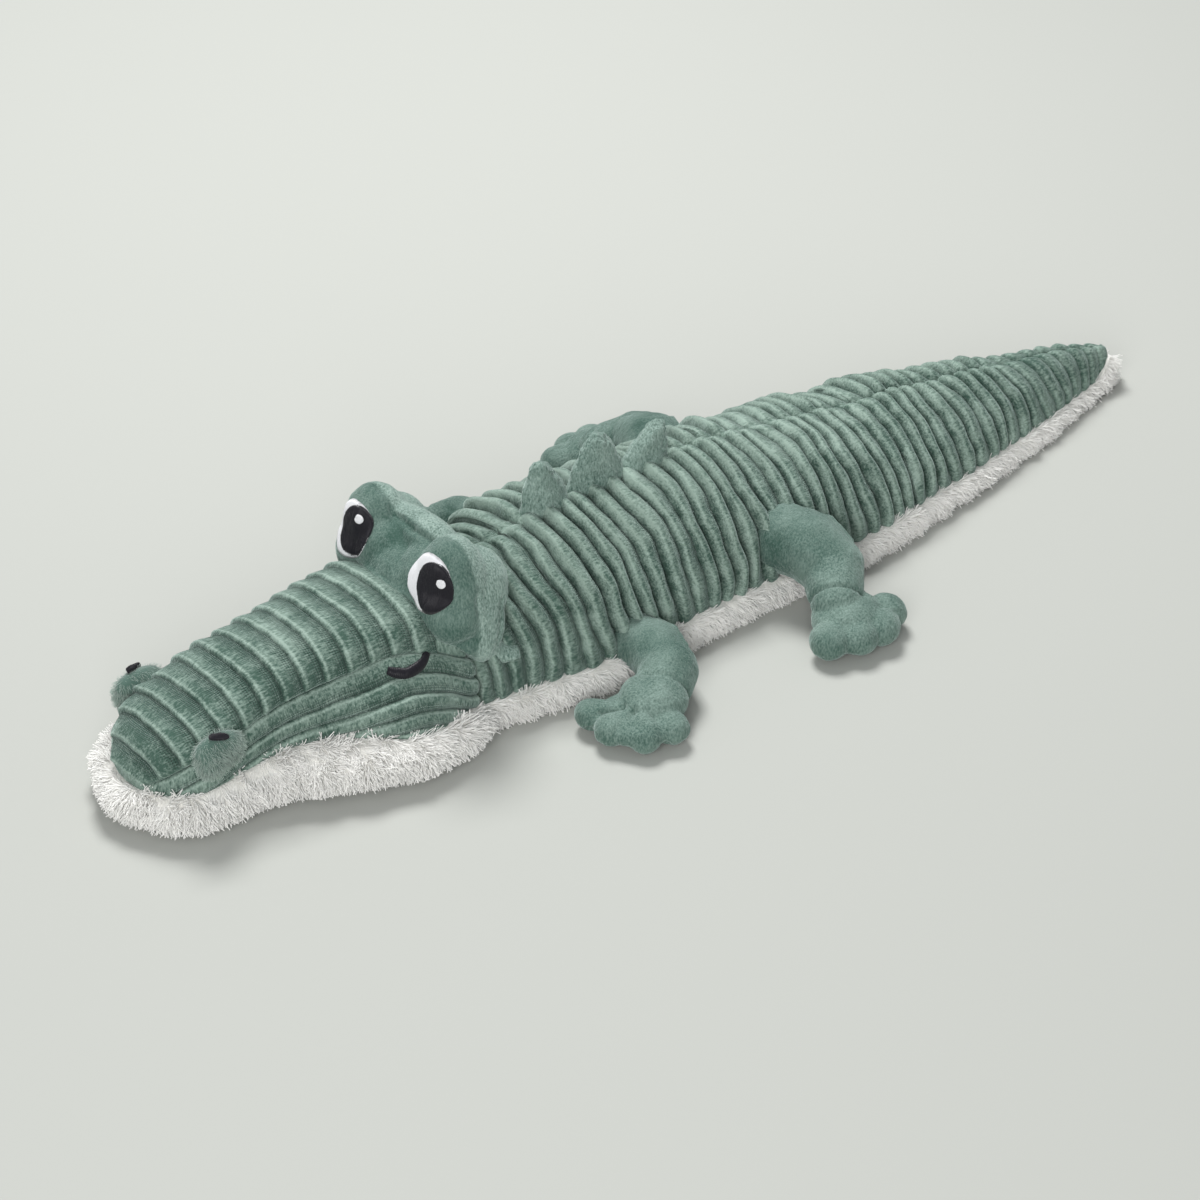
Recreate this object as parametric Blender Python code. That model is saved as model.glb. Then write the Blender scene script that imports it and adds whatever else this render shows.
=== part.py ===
"""A plush crocodile: ribbed back panels, a long-pile belly, a sewn head and four stuffed legs.

Nose towards -X, tail towards +X, the belly on the plane z = 0, the origin under the middle.
"""
import math

import bmesh
import bpy
from mathutils import Vector

# Driving sizes, in metres, and the counts that go with them
RIB_PITCH = 0.016
RIB_DEPTH = 0.0035
TORSO_RIBS = 22
TAIL_BASE_RIBS = 12
TAIL_TIP_RIBS = 12
BODY_HALF_WIDTH = 0.089
BODY_HEIGHT = 0.120
SEAM_HEIGHT = 0.024
HEAD_LENGTH = 0.272
HEAD_HALF_WIDTH = 0.094
HEAD_HEIGHT = 0.112
CHIN_LIFT = 0.009
CHIN_THICKNESS = 0.008
CHIN_FLAT_INSET = 0.016
NOSE_BULGE = 0.008
CHEEK_BULGE = 0.007
COVER_THICKNESS = 0.0026
BELLY_THICKNESS = 0.008
SEAM_GAP = 0.0005
FILLING_GAP = 0.0007
HEAD_FILLING_GAP = 0.0011
HEAD_FILLING_INSET = 0.002
TAIL_END_LENGTH = 0.012

# Joints in the long body: the ring of the moving piece runs inside the rim of the fixed one
RIM_LIFT = 0.0005
RIM_WALL = 0.004
RIM_FLOOR = 0.003
RIM_DEPTH = 0.028
RUNNING_GAP = 0.0007
NECK_ROOM = 0.0017
NECK_TUCK = 0.012
HEAD_TURN = math.radians(10.0)
TAIL_BASE_TURN = math.radians(15.0)
TAIL_TIP_TURN = math.radians(20.0)

# Body outline from the neck crease to the tail's end: share of the length, share of the size
WIDTH_SHARES = ((0.0, 0.854), (0.065, 0.933), (0.13, 1.0), (0.217, 0.978), (0.348, 0.921),
                (0.478, 0.933), (0.565, 0.865), (0.652, 0.742), (0.739, 0.618), (0.826, 0.472),
                (0.913, 0.292), (1.0, 0.10))
HEIGHT_SHARES = ((0.0, 0.82), (0.065, 0.90), (0.13, 0.967), (0.217, 1.0), (0.348, 0.983),
                 (0.478, 0.885), (0.587, 0.767), (0.717, 0.65), (0.826, 0.55), (0.913, 0.458),
                 (1.0, 0.33))
BELLY_WIDTH_SHARE = 1.15
BELLY_OUTER_SHARES = ((1.0, 0.45), (0.95, 0.17))
BELLY_FLAT_SHARE = 0.82
BELLY_INNER_SHARES = ((1.0, 0.60), (0.97, 0.35), (0.85, 0.0))
SIDE_POWER = 1.0
TOP_POWER = 1.02
BACK_STEPS = 5
RINGS_PER_LINING = 4

# Head outline from the neck crease to the nose: shares of length, half width and height
SEAM_WIDTH_SHARES = ((-0.1, 0.78), (0.0, 0.80), (0.066, 0.83), (0.176, 0.97), (0.294, 1.0),
                     (0.412, 0.80), (0.529, 0.585), (0.647, 0.51), (0.765, 0.53), (0.882, 0.56),
                     (0.96, 0.45), (1.0, 0.22))
SEAM_HEIGHT_SHARES = ((-0.1, 0.22), (0.0, 0.23), (0.066, 0.23), (0.176, 0.27), (0.294, 0.295),
                      (0.412, 0.33), (0.529, 0.35), (0.647, 0.35), (0.765, 0.33), (0.882, 0.31),
                      (0.96, 0.295), (1.0, 0.29))
EDGE_WIDTH_SHARES = ((-0.1, 0.70), (0.0, 0.72), (0.066, 0.74), (0.176, 0.65), (0.294, 0.58),
                     (0.412, 0.54), (0.529, 0.50), (0.647, 0.49), (0.765, 0.50), (0.882, 0.49),
                     (0.96, 0.38), (1.0, 0.20))
EDGE_HEIGHT_SHARES = ((-0.1, 0.52), (0.0, 0.55), (0.066, 0.59), (0.176, 0.71), (0.294, 0.77),
                      (0.412, 0.75), (0.529, 0.73), (0.647, 0.70), (0.765, 0.635), (0.882, 0.56),
                      (0.96, 0.446), (1.0, 0.32))
CROWN_HEIGHT_SHARES = ((-0.1, 0.84), (0.0, 0.875), (0.066, 0.93), (0.176, 1.0), (0.294, 1.0),
                       (0.412, 0.985), (0.529, 0.95), (0.647, 0.90), (0.765, 0.82), (0.882, 0.70),
                       (0.96, 0.56), (1.0, 0.34))
LIP_SWELL_SHARES = ((-0.1, 0.15), (0.066, 0.16), (0.176, 0.13), (0.294, 0.14), (0.412, 0.27),
                    (0.529, 0.32), (0.647, 0.24), (0.765, 0.14), (0.882, 0.10), (1.0, 0.10))
CROWN_POWER = 0.75
HEAD_STEP_SHARE = 0.012
HOOD_START_SHARE = 0.072
HOOD_END_SHARE = 0.196
SNOUT_START_SHARE = 0.20
SNOUT_RIBS = 14
CHEEK_STEPS = 8
CROWN_STEPS = 8

# Eye domes, their embroidery and the nostril tabs
DOME_SIZE = Vector((0.030, 0.030, 0.040))
DOME_REACH = 0.012
DOME_INSET = 0.046
DOME_LIFT = 0.009
DOME_UNDERSIDE = 0.0125
EYE_WHITE_SIZE = (0.019, 0.026)
PUPIL_SIZE = (0.0135, 0.0205)
HIGHLIGHT_SIZE = (0.0030, 0.0030)
EMBROIDERY_THICKNESS = 0.0010
EMBROIDERY_GAP = 0.0006
EMBROIDERY_FINE = 0.008
TAB_SIZE = Vector((0.019, 0.012, 0.021))
TAB_SHARE = 0.846
TAB_STANDOFF = 0.0065
TAB_HEIGHT = 0.068
SLIT_SIZE = (0.0065, 0.0022)

# Smile stitched on the cheek
SMILE_WIDTH = 0.0045
SMILE_THICKNESS = 0.0015
SMILE_SHARES = ((0.330, 0.76), (0.304, 0.69), (0.272, 0.66), (0.240, 0.71), (0.226, 0.82),
                (0.230, 0.92))

# Back spikes: place along the spine and sizes
SPIKE_PLACE_SHARES = (0.149, 0.215, 0.284)
SPIKE_HEIGHTS = (0.040, 0.040, 0.030)
SPIKE_LENGTHS = (0.040, 0.052, 0.038)
SPIKE_THICKNESS = 0.020
SPIKE_TIP = 0.003

# Legs: the front pair bends forward, the rear pair points straight out
HIP_RADIUS = 0.022
HIP_CLEARANCE = 0.0006
LEG_NECKING = 0.0016
FOOT_HEIGHT = 0.024
TOE_DEPTH = 0.008
TOE_COUNT = 4
ANKLE_GAP = 0.0004
SOLE_CLEARANCE = 0.0015
FRONT_HIP_REACH = 0.133
FRONT_HIP_SPREAD = 0.096
FRONT_BEND = math.radians(-70.0)
FRONT_LEG_LENGTH = 0.054
FRONT_ANKLE_HALF_WIDTH = 0.021
FRONT_FOOT_LENGTH = 0.060
FRONT_FOOT_WIDTH = 0.084
FRONT_ROOT_HEIGHTS = (0.004, 0.042)
FRONT_ANKLE_HEIGHT = 0.030
REAR_HIP_SETBACK = 0.048
REAR_HIP_SPREAD = 0.090
REAR_BEND = math.radians(-8.0)
REAR_LEG_LENGTH = 0.050
REAR_ANKLE_HALF_WIDTH = 0.022
REAR_FOOT_LENGTH = 0.060
REAR_FOOT_WIDTH = 0.094
REAR_ROOT_HEIGHTS = (0.016, 0.078)
REAR_ANKLE_HEIGHT = 0.034

# Lengths that follow from the driving sizes
TORSO_LENGTH = TORSO_RIBS * RIB_PITCH
TAIL_BASE_LENGTH = TAIL_BASE_RIBS * RIB_PITCH
TAIL_TIP_LENGTH = TAIL_TIP_RIBS * RIB_PITCH
BODY_LENGTH = TORSO_LENGTH + TAIL_BASE_LENGTH + TAIL_TIP_LENGTH
LIP_REACH = NOSE_BULGE + HEAD_HALF_WIDTH * LIP_SWELL_SHARES[-1][1]
WHOLE_LENGTH = HEAD_LENGTH + LIP_REACH + BODY_LENGTH + TAIL_END_LENGTH
NECK_X = HEAD_LENGTH + LIP_REACH - WHOLE_LENGTH / 2
DOME_HEIGHT = HEAD_HEIGHT + DOME_LIFT
DOME_SPREAD = HEAD_HALF_WIDTH - DOME_INSET
REAR_HIP_REACH = TORSO_LENGTH - REAR_HIP_SETBACK
NECK_CREASE = HEAD_HALF_WIDTH * math.sin(HEAD_TURN) + NECK_ROOM
TAIL_BASE_X = NECK_X + TORSO_LENGTH
TAIL_TIP_X = TAIL_BASE_X + TAIL_BASE_LENGTH
TAIL_END_X = TAIL_TIP_X + TAIL_TIP_LENGTH
LEFT = -1
RIGHT = 1
SIDE_NAMES = {LEFT: "left", RIGHT: "right"}


def profile(shares, place):
    """Smooth curve through a table of (place, value) shares, held flat past both ends."""
    if place <= shares[0][0]:
        return shares[0][1]
    if place >= shares[-1][0]:
        return shares[-1][1]
    last = len(shares) - 2
    index = max(i for i in range(last + 1) if shares[i][0] <= place)
    slopes = [(shares[i + 1][1] - shares[i][1]) / (shares[i + 1][0] - shares[i][0])
              for i in range(last + 1)]

    def tangent(i):
        before = slopes[max(i - 1, 0)]
        after = slopes[min(i, last)]
        if before * after <= 0:
            return 0.0
        return 2 * before * after / (before + after)

    span = shares[index + 1][0] - shares[index][0]
    t = (place - shares[index][0]) / span
    low, high = shares[index][1], shares[index + 1][1]
    return (low * (1 + 2 * t) * (1 - t) ** 2 + high * t * t * (3 - 2 * t)
            + span * tangent(index) * t * (1 - t) ** 2 - span * tangent(index + 1) * t * t * (1 - t))


def steps(start, end, count):
    return [start + (end - start) * i / count for i in range(count + 1)]


def make_object(name, verts, faces, material):
    """Mesh object with its faces turned outwards, shaded smooth except at real edges."""
    mesh = bpy.data.meshes.new(name)
    builder = bmesh.new()
    corners = [builder.verts.new(v) for v in verts]
    for face in faces:
        builder.faces.new([corners[i] for i in face])
    bmesh.ops.recalc_face_normals(builder, faces=builder.faces)
    builder.to_mesh(mesh)
    builder.free()
    mesh.materials.append(material)
    mesh.shade_smooth()
    mesh.set_sharp_from_angle(angle=math.radians(50.0))
    part = bpy.data.objects.new(name, mesh)
    bpy.context.collection.objects.link(part)
    return part


def loft(rings):
    """Closed solid through rings of equal count, with a flat face on each end."""
    count = len(rings[0])
    verts = [point for ring in rings for point in ring]
    faces = [list(range(count)), list(range(len(verts) - count, len(verts)))]
    for r in range(len(rings) - 1):
        for i in range(count):
            a = r * count + i
            b = r * count + (i + 1) % count
            faces.append([a, b, b + count, a + count])
    return verts, faces


def tube(outer_rings, inner_rings):
    """Open-ended sleeve between two lofted skins."""
    count = len(outer_rings[0])
    rows = len(outer_rings)
    verts = [point for ring in outer_rings + inner_rings for point in ring]
    faces = []
    for r in range(rows - 1):
        for i in range(count):
            j = (i + 1) % count
            faces.append([r * count + i, r * count + j, (r + 1) * count + j, (r + 1) * count + i])
            base = rows * count
            faces.append([base + r * count + i, base + r * count + j,
                          base + (r + 1) * count + j, base + (r + 1) * count + i])
    for r in (0, rows - 1):
        for i in range(count):
            j = (i + 1) % count
            faces.append([r * count + i, r * count + j,
                          (rows + r) * count + j, (rows + r) * count + i])
    return verts, faces


def panel(outer_rows, inner_rows, ratio):
    """Sheet with a fine outer skin and a lining of every ratio-th row, sewn round its edge."""
    wide = len(outer_rows[0])
    verts = [point for row in outer_rows + inner_rows for point in row]
    base = len(outer_rows) * wide
    faces = []
    for r in range(len(outer_rows) - 1):
        for i in range(wide - 1):
            a = r * wide + i
            faces.append([a, a + 1, a + 1 + wide, a + wide])
    for r in range(len(inner_rows) - 1):
        for i in range(wide - 1):
            a = base + r * wide + i
            faces.append([a, a + 1, a + 1 + wide, a + wide])
    for outer_row, inner_row in ((0, 0), (len(outer_rows) - 1, len(inner_rows) - 1)):
        for i in range(wide - 1):
            a = outer_row * wide + i
            b = base + inner_row * wide + i
            faces.append([a, a + 1, b + 1, b])
    for column in (0, wide - 1):
        for r in range(len(inner_rows) - 1):
            low = base + r * wide + column
            high = base + (r + 1) * wide + column
            middle = r * ratio + ratio // 2
            for k in range(r * ratio, (r + 1) * ratio):
                near = low if k < middle else high
                faces.append([k * wide + column, (k + 1) * wide + column, near])
            faces.append([low, high, middle * wide + column])
    return verts, faces


def crease(part, rows, step):
    """Sharp edges where two ribs meet: between skin points a step apart, starting on even lines."""
    wide = len(rows[0])
    for edge in part.data.edges:
        low, high = sorted(edge.vertices)
        line = low // wide if step == 1 else low % wide
        if high < wide * len(rows) and high - low == step and line % 2 == 0:
            edge.use_edge_sharp = True
    return part


def half_width(x):
    return BODY_HALF_WIDTH * profile(WIDTH_SHARES, (x - NECK_X) / BODY_LENGTH)


def back_height(x):
    return BODY_HEIGHT * profile(HEIGHT_SHARES, (x - NECK_X) / BODY_LENGTH)


def back_point(x, turn, outset):
    """Half width and height on the back at an angle from the side seam, moved out by outset."""
    wide = half_width(x)
    rise = back_height(x) - SEAM_HEIGHT
    c = max(math.cos(turn), 0.0)
    s = max(math.sin(turn), 0.0)
    normal = Vector((c ** (2 - SIDE_POWER) / (SIDE_POWER * wide),
                     s ** (2 - TOP_POWER) / (TOP_POWER * rise))).normalized()
    return (wide * c ** SIDE_POWER + outset * normal.x,
            SEAM_HEIGHT + rise * s ** TOP_POWER + outset * normal.y)


def tuck_inset(distance, wide):
    """How far a moving ring stays inside its turning circle at a distance from the axis."""
    return RUNNING_GAP - RIM_LIFT + distance * distance / (2 * wide)


class Stretch:
    """One length of the body: where it starts, its ribs, and which ends are rims or tucks."""

    def __init__(self, name, start, ribs, front_turn, front_rim, rear_rim):
        self.name = name
        self.start = start
        self.ribs = ribs
        self.end = start + ribs * RIB_PITCH
        self.front_rim = front_rim
        self.rear_rim = rear_rim
        self.reach = 0.0
        if front_turn:
            self.reach = half_width(start) * BELLY_WIDTH_SHARE * math.sin(front_turn)

    def station(self, ring):
        x = self.start + ring * RIB_PITCH / 2
        if ring == 0 and self.reach:
            x += SEAM_GAP
        return x

    def tucked(self, x):
        return self.reach > 0 and x - self.start <= self.reach

    def outset(self, ring):
        x = self.station(ring)
        if self.tucked(x):
            return -tuck_inset(x - self.start, half_width(x))
        at_rim = (ring == 0 and self.front_rim) or (ring == 2 * self.ribs and self.rear_rim)
        if ring % 2 or at_rim:
            return RIB_DEPTH
        return 0.0

    def lining(self, ring):
        if (ring == 0 and self.front_rim) or (ring == 2 * self.ribs and self.rear_rim):
            return RIM_LIFT
        if self.reach and ring <= RINGS_PER_LINING:
            return -COVER_THICKNESS - tuck_inset(RIB_PITCH, BODY_HALF_WIDTH)
        return -COVER_THICKNESS


def back_row(x, outset, side):
    row = []
    for turn in steps(0.0, math.pi / 2, BACK_STEPS):
        y, z = back_point(x, turn, outset)
        row.append(Vector((x, side * max(y, SEAM_GAP / 2), max(z, SEAM_HEIGHT + SEAM_GAP))))
    return row


def back_panel(stretch, side, material):
    outer = [back_row(stretch.station(r), stretch.outset(r), side)
             for r in range(2 * stretch.ribs + 1)]
    inner = [back_row(stretch.station(r), stretch.lining(r), side)
             for r in range(0, 2 * stretch.ribs + 1, RINGS_PER_LINING)]
    name = f"{stretch.name}_back_panel_{SIDE_NAMES[side]}"
    return crease(make_object(name, *panel(outer, inner, RINGS_PER_LINING), material), outer, 1)


def mirrored(points):
    """Half outline from the left seam down to the middle, then back up on the right."""
    left = [(-y, z) for y, z in points]
    right = [(y, z) for y, z in reversed(points) if y > 0]
    return left + right


def belly_outside(wide, swell, floor):
    """Outer half outline: seam edge, swelling side, flat underside."""
    points = [(wide, SEAM_HEIGHT)]
    for across, up in BELLY_OUTER_SHARES:
        points.append((swell * across, floor + (SEAM_HEIGHT - floor) * up))
    points.append((swell * BELLY_FLAT_SHARE, floor))
    points.append((0.0, floor))
    return points


def belly_inside(wide, floor):
    """Inner half outline, which the filling follows."""
    points = [(wide, SEAM_HEIGHT)]
    for across, up in BELLY_INNER_SHARES:
        points.append((wide * across, floor + (SEAM_HEIGHT - floor) * up))
    points.append((0.0, floor))
    return points


def tray_ring(x, outside, inside):
    loop = mirrored(outside) + list(reversed(mirrored(inside)))
    return [Vector((x, y, z)) for y, z in loop]


def belly_ring(x, rim=False, tuck=None):
    wide = half_width(x)
    swell = wide * BELLY_WIDTH_SHARE
    if tuck is not None:
        inset = tuck_inset(tuck, swell)
        outside = belly_outside(wide - inset, swell - RIM_WALL - RUNNING_GAP - inset,
                                RIM_FLOOR + RUNNING_GAP)
        return tray_ring(x, outside, belly_inside(wide - inset - COVER_THICKNESS, BELLY_THICKNESS))
    if rim:
        return tray_ring(x, belly_outside(wide + RIB_DEPTH, swell, 0.0),
                         belly_outside(wide + RIM_LIFT, swell - RIM_WALL, RIM_FLOOR))
    return tray_ring(x, belly_outside(wide, swell, 0.0), belly_inside(wide - COVER_THICKNESS, BELLY_THICKNESS))


def belly_panel(stretch, material):
    rings = []
    lining_pitch = RIB_PITCH * RINGS_PER_LINING / 2
    first, last = 1, stretch.ribs * 2 // RINGS_PER_LINING - 1
    if stretch.front_rim:
        rings += [belly_ring(stretch.start, rim=True), belly_ring(stretch.start + RIM_DEPTH, rim=True)]
        first = 2
    if stretch.reach:
        start = stretch.station(0)
        rings += [belly_ring(start, tuck=0.0), belly_ring(start + stretch.reach, tuck=stretch.reach)]
        first = 2
    if stretch.rear_rim:
        last -= 1
    rings += [belly_ring(stretch.start + k * lining_pitch) for k in range(first, last + 1)]
    if stretch.rear_rim:
        rings += [belly_ring(stretch.end - RIM_DEPTH, rim=True), belly_ring(stretch.end, rim=True)]
    else:
        rings.append(belly_ring(stretch.end))
    return make_object(f"{stretch.name}_belly_panel", *loft(rings), material)


def filling_ring(x, inset):
    upper = [back_point(x, turn, -inset) for turn in steps(0.0, math.pi / 2, BACK_STEPS)]
    low = belly_inside(half_width(x) - inset, BELLY_THICKNESS + FILLING_GAP)[1:]
    half = list(reversed(low)) + upper
    left = [(-y, z) for y, z in half]
    right = [(y, z) for y, z in reversed(half) if y > SEAM_GAP / 2]
    return [Vector((x, min(y, 0.0) if y < SEAM_GAP / 2 else y, z)) for y, z in left + right]


def body_filling(stretch, rear_room, material):
    inset = COVER_THICKNESS + FILLING_GAP
    lining_pitch = RIB_PITCH * RINGS_PER_LINING / 2
    count = stretch.ribs * 2 // RINGS_PER_LINING
    stations = [(stretch.start + k * lining_pitch, inset) for k in range(2, count - 1)]
    if stretch.reach:
        tight = inset + tuck_inset(stretch.reach, half_width(stretch.start))
        stations.insert(0, (stretch.start + lining_pitch, tight))
        stations.insert(0, (stretch.station(0), tight))
    if stretch.front_rim:
        stations.insert(0, (stretch.start + RIM_DEPTH, inset))
    stations.append((stretch.end - rear_room, inset))
    rings = [filling_ring(x, depth) for x, depth in stations]
    return make_object(f"{stretch.name}_filling", *loft(rings), material)


def tail_end(material):
    """Small rounded cap of fur that closes the tail."""
    x = TAIL_END_X
    upper = [back_point(x, turn, 0.0) for turn in steps(0.0, math.pi / 2, BACK_STEPS)]
    low = belly_outside(half_width(x), half_width(x) * BELLY_WIDTH_SHARE, 0.0)[1:]
    half = list(reversed(low)) + upper
    loop = [(-y, z) for y, z in half] + [(y, z) for y, z in reversed(half) if y > SEAM_GAP / 2]
    middle = back_height(x) / 2
    rings = []
    for turn in steps(0.0, math.radians(75.0), 3):
        scale = math.cos(turn)
        forward = SEAM_GAP + (TAIL_END_LENGTH - SEAM_GAP) * math.sin(turn) / math.sin(math.radians(75.0))
        rings.append([Vector((x + forward, y * scale, middle + (z - middle) * scale))
                      for y, z in loop])
    return make_object("tail_end_fur", *loft(rings), material)


def head_x(share, forward=0.0):
    return NECK_X - HEAD_LENGTH * share - forward


def head_row(share):
    """Points of one head section from the left seam over the crown to the right seam."""
    seam = Vector((HEAD_HALF_WIDTH * profile(SEAM_WIDTH_SHARES, share),
                   HEAD_HEIGHT * profile(SEAM_HEIGHT_SHARES, share)))
    edge = Vector((HEAD_HALF_WIDTH * profile(EDGE_WIDTH_SHARES, share),
                   HEAD_HEIGHT * profile(EDGE_HEIGHT_SHARES, share)))
    crown = HEAD_HEIGHT * profile(CROWN_HEIGHT_SHARES, share)
    round_off = max(0.0, min(1.0, (share - 0.85) / 0.15))
    bulge = CHEEK_BULGE * min(1.0, 2.2 * max(0.0, 1.0 - share))
    half = []
    for v in steps(0.0, 1.0, CHEEK_STEPS):
        flat = seam.lerp(edge, v)
        out = bulge * math.sin(math.pi * v)
        half.append((flat.x + out, flat.y, NOSE_BULGE * round_off * (1 - flat.x / HEAD_HALF_WIDTH)))
    for turn in steps(0.0, math.pi / 2, CROWN_STEPS // 2)[1:]:
        y = edge.x * math.cos(turn) ** CROWN_POWER if turn < math.pi / 2 else 0.0
        z = edge.y + (crown - edge.y) * math.sin(turn)
        half.append((y, z, NOSE_BULGE * round_off * (1 - y / HEAD_HALF_WIDTH)))
    left = [Vector((head_x(share, f), -y, z)) for y, z, f in half]
    right = [Vector((p.x, -p.y, p.z)) for p in reversed(left[:-1])]
    return left + right


def head_skin(share, outset):
    """Head section moved out along the surface normals; the seam rows stay level."""
    here = head_row(share)
    ahead = head_row(min(share + HEAD_STEP_SHARE, 1.0))
    behind = head_row(min(share + HEAD_STEP_SHARE, 1.0) - 2 * HEAD_STEP_SHARE)
    moved = []
    last = len(here) - 1
    for i, point in enumerate(here):
        along = ahead[i] - behind[i]
        across = here[min(i + 1, last)] - here[max(i - 1, 0)]
        normal = across.cross(along)
        if i in (0, last):
            normal.z = 0.0
        normal.normalize()
        amount = outset[i] if isinstance(outset, list) else outset
        moved.append(point + normal * amount)
    return moved


def crown_shares(start, count):
    """Shares evenly spaced along the crown line, from start to the nose."""
    samples = [start + (1.0 - start) * i / 200 for i in range(201)]
    middle = CHEEK_STEPS + CROWN_STEPS // 2
    points = [head_row(s)[middle] for s in samples]
    lengths = [0.0]
    for a, b in zip(points, points[1:]):
        lengths.append(lengths[-1] + (b - a).length)
    shares = []
    for i in range(count + 1):
        wanted = lengths[-1] * i / count
        index = max(k for k in range(len(lengths)) if lengths[k] <= wanted * (1 + 1e-9))
        if index == len(samples) - 1:
            shares.append(1.0)
            continue
        part = (wanted - lengths[index]) / (lengths[index + 1] - lengths[index])
        shares.append(samples[index] + (samples[index + 1] - samples[index]) * part)
    return shares


def lifted(row, height):
    return [Vector((p.x, p.y, p.z + height)) for p in row]


def snout_panel(material):
    shares = crown_shares(SNOUT_START_SHARE, 2 * SNOUT_RIBS)
    first, last = CHEEK_STEPS, CHEEK_STEPS + CROWN_STEPS
    wide = 2 * CHEEK_STEPS + CROWN_STEPS + 1
    outer = []
    for r, share in enumerate(shares):
        rib = RIB_DEPTH if r % 2 else 0.0
        amount = [rib * min(1.0, 2 * math.sin(math.pi * max(0, min(1, (i - first) / CROWN_STEPS))))
                  for i in range(wide)]
        outer.append(lifted(head_skin(share, amount)[first:last + 1], SEAM_GAP / 2))
    inner = [lifted(head_skin(s, -COVER_THICKNESS)[first:last + 1], SEAM_GAP / 2)
             for s in shares[::RINGS_PER_LINING]]
    return crease(make_object("snout_panel", *panel(outer, inner, RINGS_PER_LINING), material),
                  outer, 1)


def cheek_panel(side, material):
    rear = steps(NECK_CREASE / HEAD_LENGTH, SNOUT_START_SHARE, 4)[:-1]
    shares = rear + crown_shares(SNOUT_START_SHARE, 2 * SNOUT_RIBS)[::2]
    wide = 2 * CHEEK_STEPS + CROWN_STEPS + 1
    outer = []
    inner = []
    for share in shares:
        depth = RIB_DEPTH * min(1.0, 1.6 * (1.0 - share))
        amount = [0.0] * wide
        for i in range(1, CHEEK_STEPS, 2):
            amount[i] = depth
            amount[wide - 1 - i] = depth
        for rows, skin in ((outer, head_skin(share, amount)),
                           (inner, head_skin(share, -COVER_THICKNESS))):
            row = skin[:CHEEK_STEPS + 1] if side == LEFT else skin[:-CHEEK_STEPS - 2:-1]
            row[0] = row[0] + Vector((0.0, 0.0, SEAM_GAP / 2))
            row[-1] = row[-1] - Vector((0.0, 0.0, SEAM_GAP / 2))
            rows.append(row)
    name = f"cheek_panel_{SIDE_NAMES[side]}"
    return crease(make_object(name, *panel(outer, inner[::2], 2), material), outer, len(outer[0]))


def even_panel(outer, inner):
    """Sheet whose two skins have the same rows."""
    wide = len(outer[0])
    rows = len(outer)
    base = rows * wide
    verts = [point for row in outer + inner for point in row]
    faces = []
    for r in range(rows - 1):
        for i in range(wide - 1):
            a = r * wide + i
            faces.append([a, a + 1, a + 1 + wide, a + wide])
            faces.append([base + a, base + a + 1, base + a + 1 + wide, base + a + wide])
    for i in range(wide - 1):
        for r in (0, rows - 1):
            a = r * wide + i
            faces.append([a, a + 1, base + a + 1, base + a])
    for r in range(rows - 1):
        for i in (0, wide - 1):
            a = r * wide + i
            faces.append([a, a + wide, base + a + wide, base + a])
    return verts, faces


def hood(material):
    """Smooth plush band that carries the eye domes."""
    first, last = CHEEK_STEPS, CHEEK_STEPS + CROWN_STEPS
    shares = steps(HOOD_START_SHARE, HOOD_END_SHARE, 3)
    outer = [lifted(head_skin(s, RIB_DEPTH)[first:last + 1], SEAM_GAP / 2) for s in shares]
    inner = [lifted(head_skin(s, -COVER_THICKNESS)[first:last + 1], SEAM_GAP / 2) for s in shares]
    return make_object("eye_hood", *even_panel(outer, inner), material)


def lip_line():
    """Plan points of the lower head seam from the left rear round the nose to the right rear."""
    shares = steps(NECK_CREASE / HEAD_LENGTH, 0.92, 12) + [0.96, 0.985, 1.0]
    left = [(head_row(s)[0], s) for s in shares]
    front = Vector((head_x(1.0, NOSE_BULGE), 0.0, left[-1][0].z))
    right = [(Vector((p.x, -p.y, p.z)), s) for p, s in reversed(left)]
    return left + [(front, 1.0)] + right


def chin_panel(material):
    """Tray of long pile under the head, open at the neck, with a swelling lip."""
    line = lip_line()
    count = len(line)
    floor = CHIN_LIFT + CHIN_THICKNESS
    loops = [[] for _ in range(7)]
    for i, (point, share) in enumerate(line):
        before = line[max(i - 1, 0)][0]
        after = line[min(i + 1, count - 1)][0]
        along = after - before
        out = Vector((along.y, -along.x, 0.0))
        if i in (0, count - 1):
            out = Vector((0.0, point.y, 0.0))
        out.normalize()
        if out.dot(Vector((point.x - NECK_X, point.y * 4, 0.0))) < 0:
            out = -out
        swell = HEAD_HALF_WIDTH * profile(LIP_SWELL_SHARES, share)
        rim = point.z - SEAM_GAP / 2
        rise = rim - CHIN_LIFT
        levels = ((swell - CHIN_FLAT_INSET, CHIN_LIFT), (swell * 0.8, CHIN_LIFT + rise * 0.17),
                  (swell, CHIN_LIFT + rise * 0.45), (COVER_THICKNESS, rim),
                  (-COVER_THICKNESS, rim), (-COVER_THICKNESS, floor + (rim - floor) * 0.5),
                  (-COVER_THICKNESS - CHIN_FLAT_INSET / 2, floor))
        for loop, (offset, z) in zip(loops, levels):
            moved = point + out * offset
            loop.append(Vector((moved.x, moved.y, z)))
    verts = [p for loop in loops for p in loop]
    faces = [list(range(count)), list(range(6 * count, 7 * count))]
    for k in range(6):
        for i in range(count - 1):
            a = k * count + i
            faces.append([a, a + 1, a + 1 + count, a + count])
    faces.append([k * count for k in range(7)] + [k * count + count - 1 for k in reversed(range(7))])
    return make_object("chin_panel", verts, faces, material)


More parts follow.
